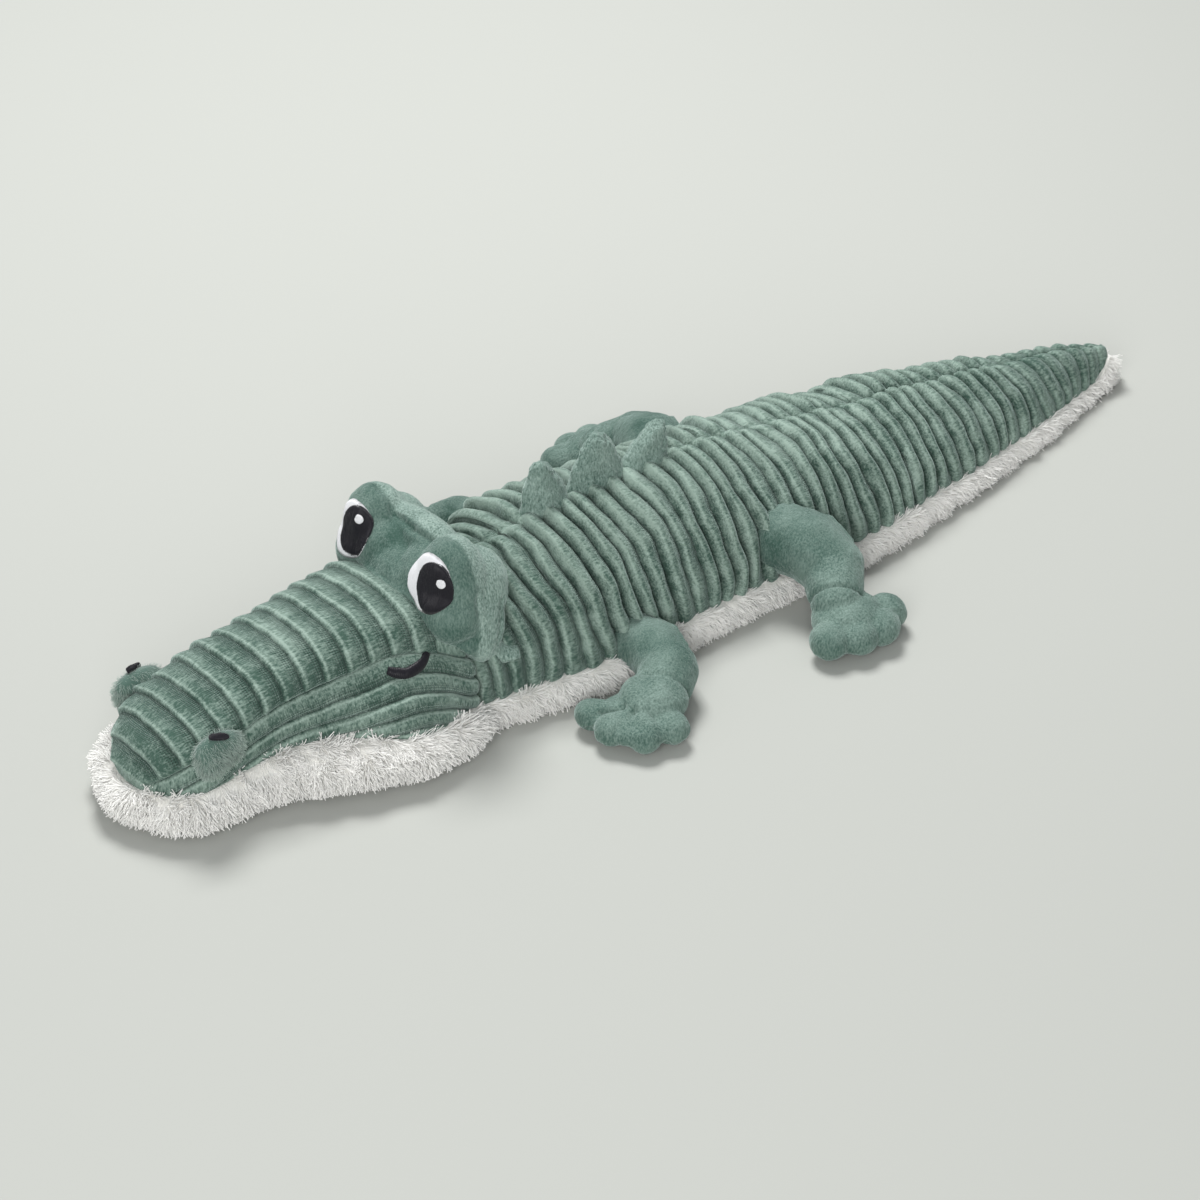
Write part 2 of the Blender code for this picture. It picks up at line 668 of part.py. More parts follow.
def neck_loop(x, inset):
    """Outline of the neck inside the rim of the body."""
    upper = [back_point(NECK_X, turn, -inset) for turn in steps(0.0, math.pi / 2, BACK_STEPS)]
    wide = half_width(NECK_X)
    swell = wide * BELLY_WIDTH_SHARE - RIM_WALL - RUNNING_GAP
    low = belly_outside(wide - inset, swell - inset, RIM_FLOOR + RUNNING_GAP + inset)[1:]
    half = list(reversed(low)) + upper
    loop = [(-y, z) for y, z in half] + [(y, z) for y, z in reversed(half) if y > SEAM_GAP / 2]
    return [Vector((x, 0.0 if abs(y) < SEAM_GAP / 2 else y, z)) for y, z in loop]


def neck_stations():
    return [-NECK_CREASE + SEAM_GAP, -NECK_CREASE / 2, 0.0, NECK_TUCK / 2, NECK_TUCK]


def neck_sleeve(material):
    outer = []
    inner = []
    for d in neck_stations():
        inset = tuck_inset(d, half_width(NECK_X))
        outer.append(neck_loop(NECK_X + d, inset))
        inner.append(neck_loop(NECK_X + d, inset + COVER_THICKNESS))
    return make_object("neck_sleeve", *tube(outer, inner), material)


def neck_filling(material):
    inset = COVER_THICKNESS + FILLING_GAP
    rings = [neck_loop(NECK_X + d, tuck_inset(d, half_width(NECK_X)) + inset)
             for d in neck_stations()]
    return make_object("neck_filling", *loft(rings), material)


def head_loop(share, outset, floor, tuck_in, seam_inset=0.0):
    """Closed head section: the covers' outline above the seam, a flat underside below it."""
    amounts = [outset] * (2 * CHEEK_STEPS + CROWN_STEPS + 1)
    amounts[0] = amounts[-1] = outset - seam_inset
    row = head_skin(share, amounts)
    seam_left = row[0]
    side = abs(seam_left.y)
    x = seam_left.x
    low = [Vector((x, -side + tuck_in, floor)), Vector((x, 0.0, floor)),
           Vector((x, side - tuck_in, floor))]
    return row + list(reversed(low))


def head_filling(material):
    inset = COVER_THICKNESS + HEAD_FILLING_GAP
    floor = CHIN_LIFT + CHIN_THICKNESS + FILLING_GAP
    rear = steps(NECK_CREASE / HEAD_LENGTH, SNOUT_START_SHARE, 2)[:-1]
    shares = rear + crown_shares(SNOUT_START_SHARE, 2 * SNOUT_RIBS)[:-RINGS_PER_LINING:RINGS_PER_LINING]
    rings = [head_loop(s, -inset, floor, CHIN_FLAT_INSET, HEAD_FILLING_INSET) for s in shares]
    return make_object("head_filling", *loft(rings), material)


def head_envelope(outset):
    """Solid of the finished head, used only to shape what lies on it."""
    shares = steps(0.0, SNOUT_START_SHARE, 6)[:-1] + crown_shares(SNOUT_START_SHARE, 2 * SNOUT_RIBS)
    rings = [head_loop(s, outset, CHIN_LIFT, 0.0) for s in shares]
    guide = make_object("head_envelope", *loft(rings), None)
    return hide(guide)


def hide(guide):
    guide.hide_render = True
    guide.hide_viewport = False
    guide.display_type = "WIRE"
    return guide


def cut(target, cutter):
    modifier = target.modifiers.new("cut_" + cutter.name, "BOOLEAN")
    modifier.operation = "DIFFERENCE"
    modifier.object = cutter


def ellipsoid(name, centre, size, across, up, material):
    verts = [centre + Vector((0.0, 0.0, -size.z))]
    for i in range(1, up):
        lift = math.pi * (i / up - 0.5)
        for j in range(across):
            turn = 2 * math.pi * j / across
            verts.append(centre + Vector((size.x * math.cos(lift) * math.cos(turn),
                                          size.y * math.cos(lift) * math.sin(turn),
                                          size.z * math.sin(lift))))
    verts.append(centre + Vector((0.0, 0.0, size.z)))
    top = len(verts) - 1
    faces = []
    for j in range(across):
        k = (j + 1) % across
        faces.append([0, 1 + j, 1 + k])
        faces.append([top, top - across + j, top - across + k])
        for i in range(up - 2):
            a = 1 + i * across
            faces.append([a + j, a + k, a + across + k, a + across + j])
    return make_object(name, verts, faces, material)


def patch(name, centre, size, facing, extent, tilt, level, material):
    """Oval piece of embroidery that hugs an ellipsoid at a level above its skin."""
    facing = facing.normalized()
    side = Vector((0.0, 0.0, 1.0)).cross(facing).normalized()
    up = facing.cross(side)
    rings = 3 if extent[0] > EMBROIDERY_FINE else 1
    around = 16 if extent[0] > EMBROIDERY_FINE else 10

    def skin(u, v, lift):
        direction = facing * size.length / 2 + side * u + up * v
        k = 1 / math.sqrt(sum((direction[i] / size[i]) ** 2 for i in range(3)))
        point = direction * k
        normal = Vector([point[i] / size[i] ** 2 for i in range(3)]).normalized()
        return centre + point + normal * lift

    verts = []
    for lift in (level, level + EMBROIDERY_THICKNESS):
        verts.append(skin(0.0, 0.0, lift))
        for r in range(1, rings + 1):
            for j in range(around):
                turn = 2 * math.pi * j / around
                u = extent[0] * r / rings * math.cos(turn)
                v = extent[1] * r / rings * math.sin(turn)
                verts.append(skin(u * math.cos(tilt) - v * math.sin(tilt),
                                  u * math.sin(tilt) + v * math.cos(tilt), lift))
    layer = 1 + rings * around
    faces = []
    for base in (0, layer):
        for j in range(around):
            k = (j + 1) % around
            faces.append([base, base + 1 + j, base + 1 + k])
            for r in range(rings - 1):
                a = base + 1 + r * around
                faces.append([a + j, a + k, a + around + k, a + around + j])
    rim = 1 + (rings - 1) * around
    for j in range(around):
        k = (j + 1) % around
        faces.append([rim + j, rim + k, layer + rim + k, layer + rim + j])
    return make_object(name, verts, faces, material)


def eye(side, envelope, shoulder, cloth, white, black):
    """Stuffed dome with an embroidered white, a pupil and a highlight."""
    label = SIDE_NAMES[side]
    centre = Vector((NECK_X - DOME_REACH, side * DOME_SPREAD, DOME_HEIGHT))
    dome = ellipsoid(f"eye_dome_{label}", centre, DOME_SIZE, 20, 12, cloth)
    cut(dome, envelope)
    cut(dome, shoulder)
    facing = Vector((-1.0, side * 0.22, 0.30))
    levels = [EMBROIDERY_GAP]
    for _ in range(2):
        levels.append(levels[-1] + EMBROIDERY_THICKNESS + EMBROIDERY_GAP / 2)
    parts = [dome]
    parts.append(patch(f"eye_white_{label}", centre, DOME_SIZE, facing, EYE_WHITE_SIZE,
                       0.0, levels[0], white))
    lower = facing + Vector((0.0, side * 0.03, -0.10))
    parts.append(patch(f"eye_pupil_{label}", centre, DOME_SIZE, lower, PUPIL_SIZE,
                       0.0, levels[1], black))
    glint = facing + Vector((0.0, -0.20, 0.22))
    parts.append(patch(f"eye_highlight_{label}", centre, DOME_SIZE, glint, HIGHLIGHT_SIZE,
                       0.0, levels[2], white))
    return parts


def nostril(side, envelope, cloth, black):
    label = SIDE_NAMES[side]
    spread = HEAD_HALF_WIDTH * profile(EDGE_WIDTH_SHARES, TAB_SHARE) + TAB_STANDOFF
    centre = Vector((head_x(TAB_SHARE), side * spread, TAB_HEIGHT))
    tab = ellipsoid(f"nostril_tab_{label}", centre, TAB_SIZE, 16, 10, cloth)
    cut(tab, envelope)
    facing = Vector((-0.1, side * 1.0, 0.9))
    slit = patch(f"nostril_slit_{label}", centre, TAB_SIZE, facing, SLIT_SIZE,
                 0.3 * side, EMBROIDERY_GAP, black)
    return [tab, slit]


def cheek_point(share, height, outset):
    row = head_skin(share, outset)
    place = height * CHEEK_STEPS
    i = min(int(place), CHEEK_STEPS - 1)
    return row[i].lerp(row[i + 1], place - i)


def smile(side, material):
    """Curved stitch line on the cheek, standing on the rib crests."""
    lift = RIB_DEPTH + SEAM_GAP
    rings = []
    for i, (share, height) in enumerate(SMILE_SHARES):
        before = SMILE_SHARES[max(i - 1, 0)]
        after = SMILE_SHARES[min(i + 1, len(SMILE_SHARES) - 1)]
        low = cheek_point(share, height, lift)
        high = cheek_point(share, height, lift + SMILE_THICKNESS)
        along = cheek_point(*after, lift) - cheek_point(*before, lift)
        across = (high - low).cross(along).normalized() * SMILE_WIDTH / 2
        if i in (0, len(SMILE_SHARES) - 1):
            across = across / 2
        rings.append([low - across, low + across, high + across, high - across])
    if side == RIGHT:
        rings = [[Vector((p.x, -p.y, p.z)) for p in ring] for ring in rings]
    return make_object(f"mouth_stitch_{SIDE_NAMES[side]}", *loft(rings), material)


def spike(number, material):
    """Soft stuffed triangle whose foot follows the spine."""
    length = SPIKE_LENGTHS[number]
    height = SPIKE_HEIGHTS[number]
    middle = NECK_X + BODY_LENGTH * SPIKE_PLACE_SHARES[number]
    half_thick = SPIKE_THICKNESS / 2
    around = 12
    rings = []
    for rise in (0.0, 0.25, 0.55, 0.8, 1.0):
        shrink = 1 - rise
        ring = []
        for j in range(around):
            turn = 2 * math.pi * j / around
            x = middle + (length / 2 * shrink + SPIKE_TIP * rise) * math.cos(turn)
            y = (half_thick * math.sqrt(shrink) * (1 - 0.25 * rise) + SPIKE_TIP * rise) * math.sin(turn)
            foot = back_height(x) + RIB_DEPTH + SEAM_GAP
            ring.append(Vector((x, y, foot + height * rise)))
        rings.append(ring)
    return make_object(f"back_spike_{number + 1}", *loft(rings), material)


class Leg:
    """Route and sizes of one leg: hip, bend, ankle and foot, for the left side."""

    def __init__(self, name, hip, bend, length, ankle, foot_size, root_heights, ankle_height):
        self.name = name
        self.hip = hip
        self.heading = -math.pi / 2
        self.bend = bend
        self.length = length
        self.ankle = ankle
        self.foot_length, self.foot_width = foot_size
        self.bottom = (root_heights[0], SOLE_CLEARANCE)
        self.top = (root_heights[1], ankle_height)

    def route(self, distance):
        """Plan position and heading at a distance from the hip along the leg."""
        count = 24
        x, y = 0.0, 0.0
        total = max(distance, 0.0)
        for i in range(count):
            middle = total * (i + 0.5) / count
            angle = self.heading + self.bend * min(1.0, middle / self.length) ** 2
            x += math.cos(angle) * total / count
            y += math.sin(angle) * total / count
        angle = self.heading + self.bend * min(1.0, total / self.length) ** 2
        if distance < 0:
            x += math.cos(angle) * distance
            y += math.sin(angle) * distance
        return Vector((self.hip[0] + x, -self.hip[1] + y)), angle


def leg_rings(leg):
    """Rings from the turned root to the ankle."""
    rings = []
    around = 12
    stops = [-0.97, -0.8, -0.45, 0.0]
    for stop in stops:
        rings.append((stop * HIP_RADIUS, math.sqrt(1 - stop * stop) * HIP_RADIUS, 0.0))
    for part in (0.22, 0.5, 0.78, 1.0):
        wide = HIP_RADIUS - LEG_NECKING * math.sin(math.pi * min(1.0, part * 1.6))
        wide = wide + (leg.ankle - wide) * part * part
        rings.append((leg.length * part, wide, part))
    loops = []
    for distance, wide, part in rings:
        place, angle = leg.route(distance)
        across = Vector((-math.sin(angle), math.cos(angle)))
        bottom = leg.bottom[0] + (leg.bottom[1] - leg.bottom[0]) * part
        blend = part * part * (3 - 2 * part)
        top = leg.top[0] + (leg.top[1] - leg.top[0]) * blend
        middle = (bottom + top) / 2
        half = (top - bottom) / 2
        loop = []
        for j in range(around):
            turn = 2 * math.pi * j / around
            side = place + across * wide * math.cos(turn)
            lift = math.copysign(abs(math.sin(turn)) ** 0.8, math.sin(turn))
            loop.append(Vector((side.x, side.y, middle + half * lift)))
        loops.append(loop)
    return loops


def foot_rings(leg):
    """Rings from the ankle to the toes; the toes are waves in the outline and in the height."""
    start, angle = leg.route(leg.length)
    along = Vector((math.cos(angle), math.sin(angle)))
    across = Vector((-along.y, along.x))
    count = 13
    rings = []
    for u in (0.0, 0.22, 0.48, 0.72, 0.9, 1.0):
        spread = math.sin(math.pi / 2 * min(1.0, u * 1.7))
        half = leg.ankle + (leg.foot_width / 2 - leg.ankle) * spread
        height = leg.top[1] + (FOOT_HEIGHT - leg.top[1]) * min(1.0, u * 2.2)
        height *= max(0.0, 1 - u ** 4) ** 0.5 * 0.85 + 0.15
        top = []
        low = []
        for i in range(count):
            v = -1 + 2 * i / (count - 1)
            toe = abs(math.sin(math.pi * TOE_COUNT * (v + 1) / 2)) ** 0.7
            reach = leg.foot_length * u * (1 - 0.22 * v * v) - TOE_DEPTH * (1 - toe) * u ** 2
            side = v * half * (0.9 + 0.1 * math.cos(v))
            place = start + along * (ANKLE_GAP + reach) + across * side
            dome = (1 - abs(v) ** 2.6) ** 0.5 if abs(v) < 1 else 0.0
            groove = 1 - 0.30 * (1 - toe) * min(1.0, u * 1.3)
            lift = height * (0.22 + 0.78 * dome) * groove
            top.append(Vector((place.x, place.y, lift)))
            low.append(Vector((place.x, place.y, 0.0)))
        rings.append(top + list(reversed(low)))
    return rings


def flip(rings):
    return [[Vector((p.x, -p.y, p.z)) for p in ring] for ring in rings]


def leg_and_foot(leg, side, material):
    label = SIDE_NAMES[side]
    upper = leg_rings(leg)
    foot = foot_rings(leg)
    if side == RIGHT:
        upper, foot = flip(upper), flip(foot)
    return [make_object(f"{leg.name}_leg_{label}", *loft(upper), material),
            make_object(f"{leg.name}_foot_{label}", *loft(foot), material)]


def hip_cutter(leg, side):
    """Upright cylinder that makes room in the body for a turning leg root."""
    radius = HIP_RADIUS + HIP_CLEARANCE
    count = 24
    rings = []
    for z in (leg.bottom[0] - HIP_CLEARANCE, leg.top[0] + HIP_CLEARANCE):
        rings.append([Vector((leg.hip[0] + radius * math.cos(2 * math.pi * j / count),
                              side * leg.hip[1] + radius * math.sin(2 * math.pi * j / count), z))
                      for j in range(count)])
    return hide(make_object(f"hip_room_{leg.name}_{SIDE_NAMES[side]}", *loft(rings), None))


def shoulder_room():
    """Box over the front of the body that the eye domes stay above as the head turns."""
    top = BODY_HEIGHT * profile(HEIGHT_SHARES, 0.0) + DOME_UNDERSIDE
    rear = NECK_X + 2 * DOME_SIZE.x
    rings = []
    for x in (NECK_X - NECK_CREASE * 0.8, rear):
        rings.append([Vector((x, y, z)) for y, z in
                      ((-HEAD_HALF_WIDTH, 0.0), (HEAD_HALF_WIDTH, 0.0),
                       (HEAD_HALF_WIDTH, top), (-HEAD_HALF_WIDTH, top))])
    return hide(make_object("shoulder_room", *loft(rings), None))


def cloth(name, colour, roughness):
    material = bpy.data.materials.new(name)
    material.use_nodes = True
    shader = material.node_tree.nodes["Principled BSDF"]
    shader.inputs["Base Color"].default_value = (*colour, 1.0)
    shader.inputs["Roughness"].default_value = roughness
    shader.inputs["Metallic"].default_value = 0.0
    return material


def joint_empty(name, place, parent):
    empty = bpy.data.objects.new(name, None)
    empty.location = place
    bpy.context.collection.objects.link(empty)
    if parent is not None:
        empty.parent = parent
        empty.location = Vector(place) - parent.matrix_world.translation
    bpy.context.view_layer.update()
    return empty


def hang_on(parts, empty):
    for part in parts:
        part.parent = empty
        part.matrix_parent_inverse = empty.matrix_world.inverted()


def build():
    for old in list(bpy.data.objects):
        bpy.data.objects.remove(old, do_unlink=True)
    ribbed = cloth("ribbed_teal_plush", (0.20, 0.34, 0.27), 0.9)
    smooth = cloth("short_teal_plush", (0.18, 0.31, 0.26), 0.9)
    fur = cloth("white_long_pile", (0.82, 0.78, 0.68), 0.95)
    stuffing = cloth("polyester_filling", (0.85, 0.85, 0.83), 0.95)
    white = cloth("white_thread", (0.87, 0.87, 0.89), 0.6)
    black = cloth("black_thread", (0.012, 0.011, 0.014), 0.6)

    torso = Stretch("torso", NECK_X, TORSO_RIBS, 0.0, True, True)
    tail_base = Stretch("tail_base", TAIL_BASE_X, TAIL_BASE_RIBS, TAIL_BASE_TURN, False, True)
    tail_tip = Stretch("tail_tip", TAIL_TIP_X, TAIL_TIP_RIBS, TAIL_TIP_TURN, False, False)
    base_joint = joint_empty("tail_base_joint", (TAIL_BASE_X, 0.0, 0.0), None)
    tip_joint = joint_empty("tail_tip_joint", (TAIL_TIP_X, 0.0, 0.0), base_joint)
    rooms = {"torso": RIM_DEPTH, "tail_base": RIM_DEPTH, "tail_tip": 0.0}
    panels = {}
    for stretch, empty in ((torso, None), (tail_base, base_joint), (tail_tip, tip_joint)):
        parts = [back_panel(stretch, side, ribbed) for side in (LEFT, RIGHT)]
        parts.append(belly_panel(stretch, fur))
        parts.append(body_filling(stretch, rooms[stretch.name], stuffing))
        if stretch is tail_tip:
            parts.append(tail_end(fur))
        if empty is not None:
            hang_on(parts, empty)
        panels[stretch.name] = parts
    for number in range(len(SPIKE_PLACE_SHARES)):
        spike(number, smooth)

    head_joint = joint_empty("head_joint", (NECK_X, 0.0, 0.0), None)
    envelope = head_envelope(RIB_DEPTH + EMBROIDERY_GAP)
    shoulder = shoulder_room()
    head = [snout_panel(ribbed), hood(smooth), chin_panel(fur), head_filling(stuffing),
            neck_sleeve(smooth), neck_filling(stuffing)]
    for side in (LEFT, RIGHT):
        head.append(cheek_panel(side, ribbed))
        head += eye(side, envelope, shoulder, smooth, white, black)
        head += nostril(side, envelope, smooth, black)
        head.append(smile(side, black))
    hang_on(head + [envelope, shoulder], head_joint)

    front = Leg("front", (NECK_X + FRONT_HIP_REACH, FRONT_HIP_SPREAD), FRONT_BEND,
                FRONT_LEG_LENGTH, FRONT_ANKLE_HALF_WIDTH, (FRONT_FOOT_LENGTH, FRONT_FOOT_WIDTH),
                FRONT_ROOT_HEIGHTS, FRONT_ANKLE_HEIGHT)
    rear = Leg("rear", (NECK_X + REAR_HIP_REACH, REAR_HIP_SPREAD), REAR_BEND,
               REAR_LEG_LENGTH, REAR_ANKLE_HALF_WIDTH, (REAR_FOOT_LENGTH, REAR_FOOT_WIDTH),
               REAR_ROOT_HEIGHTS, REAR_ANKLE_HEIGHT)
    for leg in (front, rear):
        for side in (LEFT, RIGHT):
            place = (leg.hip[0], side * leg.hip[1], 0.0)
            empty = joint_empty(f"{leg.name}_hip_{SIDE_NAMES[side]}", place, None)
            hang_on(leg_and_foot(leg, side, smooth), empty)
            room = hip_cutter(leg, side)
            own_side = panels["torso"][0 if side == LEFT else 1]
            for target in (own_side, panels["torso"][2], panels["torso"][3]):
                cut(target, room)


build()
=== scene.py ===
"""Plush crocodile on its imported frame: ribbed covers, long white pile, embroidered eyes, stuffed legs."""
import math

import bmesh
import bpy
import numpy as np
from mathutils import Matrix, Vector
from mathutils.bvhtree import BVHTree


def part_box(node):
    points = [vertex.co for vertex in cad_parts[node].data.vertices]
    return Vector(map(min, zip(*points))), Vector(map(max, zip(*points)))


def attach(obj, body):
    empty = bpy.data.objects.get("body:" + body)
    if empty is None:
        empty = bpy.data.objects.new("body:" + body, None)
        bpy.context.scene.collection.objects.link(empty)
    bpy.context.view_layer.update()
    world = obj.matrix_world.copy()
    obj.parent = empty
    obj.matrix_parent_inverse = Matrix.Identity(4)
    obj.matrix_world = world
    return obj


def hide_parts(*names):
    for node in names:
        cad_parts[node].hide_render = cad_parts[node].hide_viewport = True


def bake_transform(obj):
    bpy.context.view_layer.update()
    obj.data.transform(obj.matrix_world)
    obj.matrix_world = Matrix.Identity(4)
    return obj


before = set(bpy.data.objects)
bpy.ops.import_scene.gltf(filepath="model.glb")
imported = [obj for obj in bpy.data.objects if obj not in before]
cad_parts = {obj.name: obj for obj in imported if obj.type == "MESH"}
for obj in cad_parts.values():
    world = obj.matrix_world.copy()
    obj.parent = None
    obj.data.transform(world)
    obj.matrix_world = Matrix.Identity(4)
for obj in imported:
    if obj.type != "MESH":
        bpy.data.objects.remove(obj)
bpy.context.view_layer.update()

# Studio: a pale matt floor under one broad soft light from behind, with a weaker one in front.
# The camera stands high on the animal's left, ahead of the nose, as the photograph was taken.
CAMERA_PLACE = Vector((-1.6314, -1.9531, 1.6780))
CAMERA_YAW = math.radians(51.207)
CAMERA_DIP = math.radians(33.733)
CAMERA_LENS = 112.18
FLOOR_HALF = 6.0
FLOOR_COLOUR = (0.47, 0.48, 0.45, 1.0)
FLOOR_SPECK = (0.43, 0.44, 0.41, 1.0)
FLOOR_PATCH = 0.6
SENSOR_WIDTH = 36.0
VIEW_DEPTH = 60.0
SKY_COLOUR = (0.95, 0.98, 1.0, 1.0)
SKY_STRENGTH = 0.34
WINDOW_PLACE, WINDOW_SIZE, WINDOW_WATTS = (0.5, 1.3, 2.7), 1.1, 96.0
FILL_PLACE, FILL_SIZE, FILL_WATTS = (-2.2, -2.0, 1.5), 1.6, 66.0


class Field:
    """A value that a node tree works out at each point; sums on it add Math nodes."""

    def __init__(self, socket):
        self.socket = socket

    def math(self, operation, *values):
        node = self.socket.id_data.nodes.new("ShaderNodeMath")
        node.operation = operation
        for place, value in zip(node.inputs, values):
            feed(place, value)
        return Field(node.outputs[0])

    def __add__(self, other):
        return self.math("ADD", self, other)

    def __sub__(self, other):
        return self.math("SUBTRACT", self, other)

    def __rsub__(self, other):
        return self.math("SUBTRACT", other, self)

    def __mul__(self, other):
        return self.math("MULTIPLY", self, other)

    def __truediv__(self, other):
        return self.math("DIVIDE", self, other)

    def __rtruediv__(self, other):
        return self.math("DIVIDE", other, self)

    def __pow__(self, other):
        return self.math("POWER", self, other)

    def __abs__(self):
        return self.math("ABSOLUTE", self)

    def over(self, other):
        return self.math("MAXIMUM", self, other)

    def clamped(self):
        return self.math("MINIMUM", self.over(0.0), 1.0)

    def part(self):
        return self.math("FRACT", self)

    def zigzag(self):
        """Swings from 1 at whole values to 0 halfway between them."""
        return abs(self.part() * 2.0 - 1.0)

    __radd__ = __add__
    __rmul__ = __mul__


def feed(place, value):
    """Links a field to a socket, or writes the socket's own value."""
    if isinstance(value, Field):
        place.id_data.links.new(value.socket, place)
    else:
        place.default_value = value


class Bench:
    """A node tree being laid out, for a finish or for pieces that repeat."""

    def __init__(self, tree):
        self.tree = tree

    def node(self, kind, values=(), output=0, **settings):
        node = self.tree.nodes.new(kind)
        for name, value in settings.items():
            setattr(node, name, value)
        for name, value in dict(values).items():
            feed(node.inputs[name], value)
        return Field(node.outputs[output])

    def mix(self, share, first, second):
        return self.node("ShaderNodeMix", {0: share, 6: first, 7: second}, 2, data_type="RGBA")

    def noise(self, size, detail=2.0, place=None, output=0, roughness=0.5):
        values = {"Scale": 1.0 / size, "Detail": detail, "Roughness": roughness}
        if place is not None:
            values["Vector"] = place
        return self.node("ShaderNodeTexNoise", values, output)

    def vector(self, operation, first, second):
        """Vector maths on two vectors, or on a vector and the number that scales it."""
        place = 3 if operation == "SCALE" else 1
        return self.node("ShaderNodeVectorMath", {0: first, place: second}, operation=operation)

    def random(self, low, high, seed):
        values = {2: low, 3: high, "Seed": seed}
        return self.node("FunctionNodeRandomValue", values, 1, data_type="FLOAT")

    def spot(self):
        return self.node("ShaderNodeTexCoord", output=3)

    def attribute(self, label):
        return self.node("ShaderNodeAttribute", output=2, attribute_name=label)

    def bump(self, shader, strength, distance, height):
        values = {"Strength": strength, "Distance": distance, "Height": height}
        feed(shader.inputs["Normal"], self.node("ShaderNodeBump", values))


def finish_named(name, roughness, sheen=0.0, sheen_tint=(1.0, 1.0, 1.0, 1.0), sheen_spread=0.5):
    """New material with its Principled shader's constant values set."""
    material = bpy.data.materials.new(name)
    material.use_nodes = True
    shader = material.node_tree.nodes["Principled BSDF"]
    shader.inputs["Roughness"].default_value = roughness
    shader.inputs["Specular IOR Level"].default_value = 0.2
    shader.inputs["Sheen Weight"].default_value = sheen
    shader.inputs["Sheen Roughness"].default_value = sheen_spread
    shader.inputs["Sheen Tint"].default_value = sheen_tint
    return material, shader, Bench(material.node_tree)


def floor_finish():
    material, shader, bench = finish_named("matt_floor", 0.9)
    speck = bench.noise(FLOOR_PATCH, 3.0, bench.spot())
    feed(shader.inputs["Base Color"], bench.mix(speck * 0.06, FLOOR_COLOUR, FLOOR_SPECK))
    return material


def soft_light(name, place, size, watts):
    lamp = bpy.data.lights.new(name, "AREA")
    lamp.size = size
    lamp.energy = watts
    light = bpy.data.objects.new(name, lamp)
    light.location = place
    light.rotation_euler = (-Vector(place)).to_track_quat("-Z", "Y").to_euler()
    bpy.context.collection.objects.link(light)


def studio():
    floor_mesh = bpy.data.meshes.new("floor")
    corners = [(-FLOOR_HALF, -FLOOR_HALF, 0), (FLOOR_HALF, -FLOOR_HALF, 0),
               (FLOOR_HALF, FLOOR_HALF, 0), (-FLOOR_HALF, FLOOR_HALF, 0)]
    floor_mesh.from_pydata(corners, [], [(0, 1, 2, 3)])
    floor_mesh.materials.append(floor_finish())
    floor = bpy.data.objects.new("floor", floor_mesh)
    bpy.context.collection.objects.link(floor)
    lens = bpy.data.cameras.new("photo_view")
    lens.lens = CAMERA_LENS
    lens.sensor_width = SENSOR_WIDTH
    lens.clip_end = VIEW_DEPTH
    camera = bpy.data.objects.new("photo_view", lens)
    camera.location = CAMERA_PLACE
    ahead = Vector((math.cos(CAMERA_YAW) * math.cos(CAMERA_DIP),
                    math.sin(CAMERA_YAW) * math.cos(CAMERA_DIP), -math.sin(CAMERA_DIP)))
    camera.rotation_euler = ahead.to_track_quat("-Z", "Y").to_euler()
    bpy.context.collection.objects.link(camera)
    bpy.context.scene.camera = camera
    bpy.context.scene.view_settings.view_transform = "Standard"
    world = bpy.data.worlds.new("soft_sky")
    world.use_nodes = True
    sky = world.node_tree.nodes["Background"]
    sky.inputs["Color"].default_value = SKY_COLOUR
    sky.inputs["Strength"].default_value = SKY_STRENGTH
    bpy.context.scene.world = world
    soft_light("window_behind", WINDOW_PLACE, WINDOW_SIZE, WINDOW_WATTS)
    soft_light("fill_in_front", FILL_PLACE, FILL_SIZE, FILL_WATTS)


studio()

# Ribbed back covers: two mirrored panels of wide-rib velvet, sewn along the spine and stuffed hard.
# Each rib is a strip of pile between two flat channels, and bows towards the nose at the spine.
RIB = 0.016
HALF_WIDTH = 0.089
TALL = 0.120
SEAM_LEVEL = 0.024
NECK_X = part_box("torso_back_panel_left")[0][0]
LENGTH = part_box("tail_tip_back_panel_left")[1][0] - NECK_X
TAIL_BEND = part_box("tail_base_belly_panel")[0][0] - NECK_X
TIP_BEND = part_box("tail_tip_belly_panel")[0][0] - NECK_X
WIDTHS = ((0.0, 0.854), (0.065, 0.933), (0.13, 1.0), (0.217, 0.978), (0.348, 0.921),
          (0.478, 0.933), (0.565, 0.865), (0.652, 0.742), (0.739, 0.618), (0.826, 0.472),
          (0.913, 0.292), (1.0, 0.10))
HEIGHTS = ((0.0, 0.82), (0.065, 0.90), (0.13, 0.967), (0.217, 1.0), (0.348, 0.983),
           (0.478, 0.885), (0.587, 0.767), (0.717, 0.65), (0.826, 0.55), (0.913, 0.458),
           (1.0, 0.33))
BOW = 0.012
ROWS_PER_RIB = 16
AROUND = 96
SPINE_GROOVE = 0.0030
SPINE_WIDTH = 0.0035
BACK_CREST = (0.305, 0.400, 0.345, 1.0)
BACK_BODY = (0.052, 0.100, 0.078, 1.0)
# The darkest velvet tone is painted shade, for the channels between ribs and the holes of the knit.
PAINTED_CHANNEL_SHADE = (0.014, 0.028, 0.022, 1.0)
STITCH = 0.0018
NAP_SHEEN = (0.75, 0.92, 0.86, 1.0)
NAP_PATCH = 0.030
NAP_BLOTCH = 0.013
NAP_STROKE = 0.0017
NAP_DEPTH = 0.0014
# Height above which the ribbed velvet is painted paler, as painted top light.
SHADED_LEVEL = 0.085
ACROSS_RIBS = (0.35, 1.0, 1.0)
SEAM_DROP = 0.003
TAIL_DROP = 0.007
BEND_REACH = 0.045
NECK_BEND = (-0.022, 0.040)
BACK_RIBS = {"height": 0.0098, "breadth": 1.7, "rear_breadth": 2.0, "front": 0.24, "wander": 1.90,
             "wander_size": 0.085, "lump_height": 0.0110, "lump_size": 0.070}
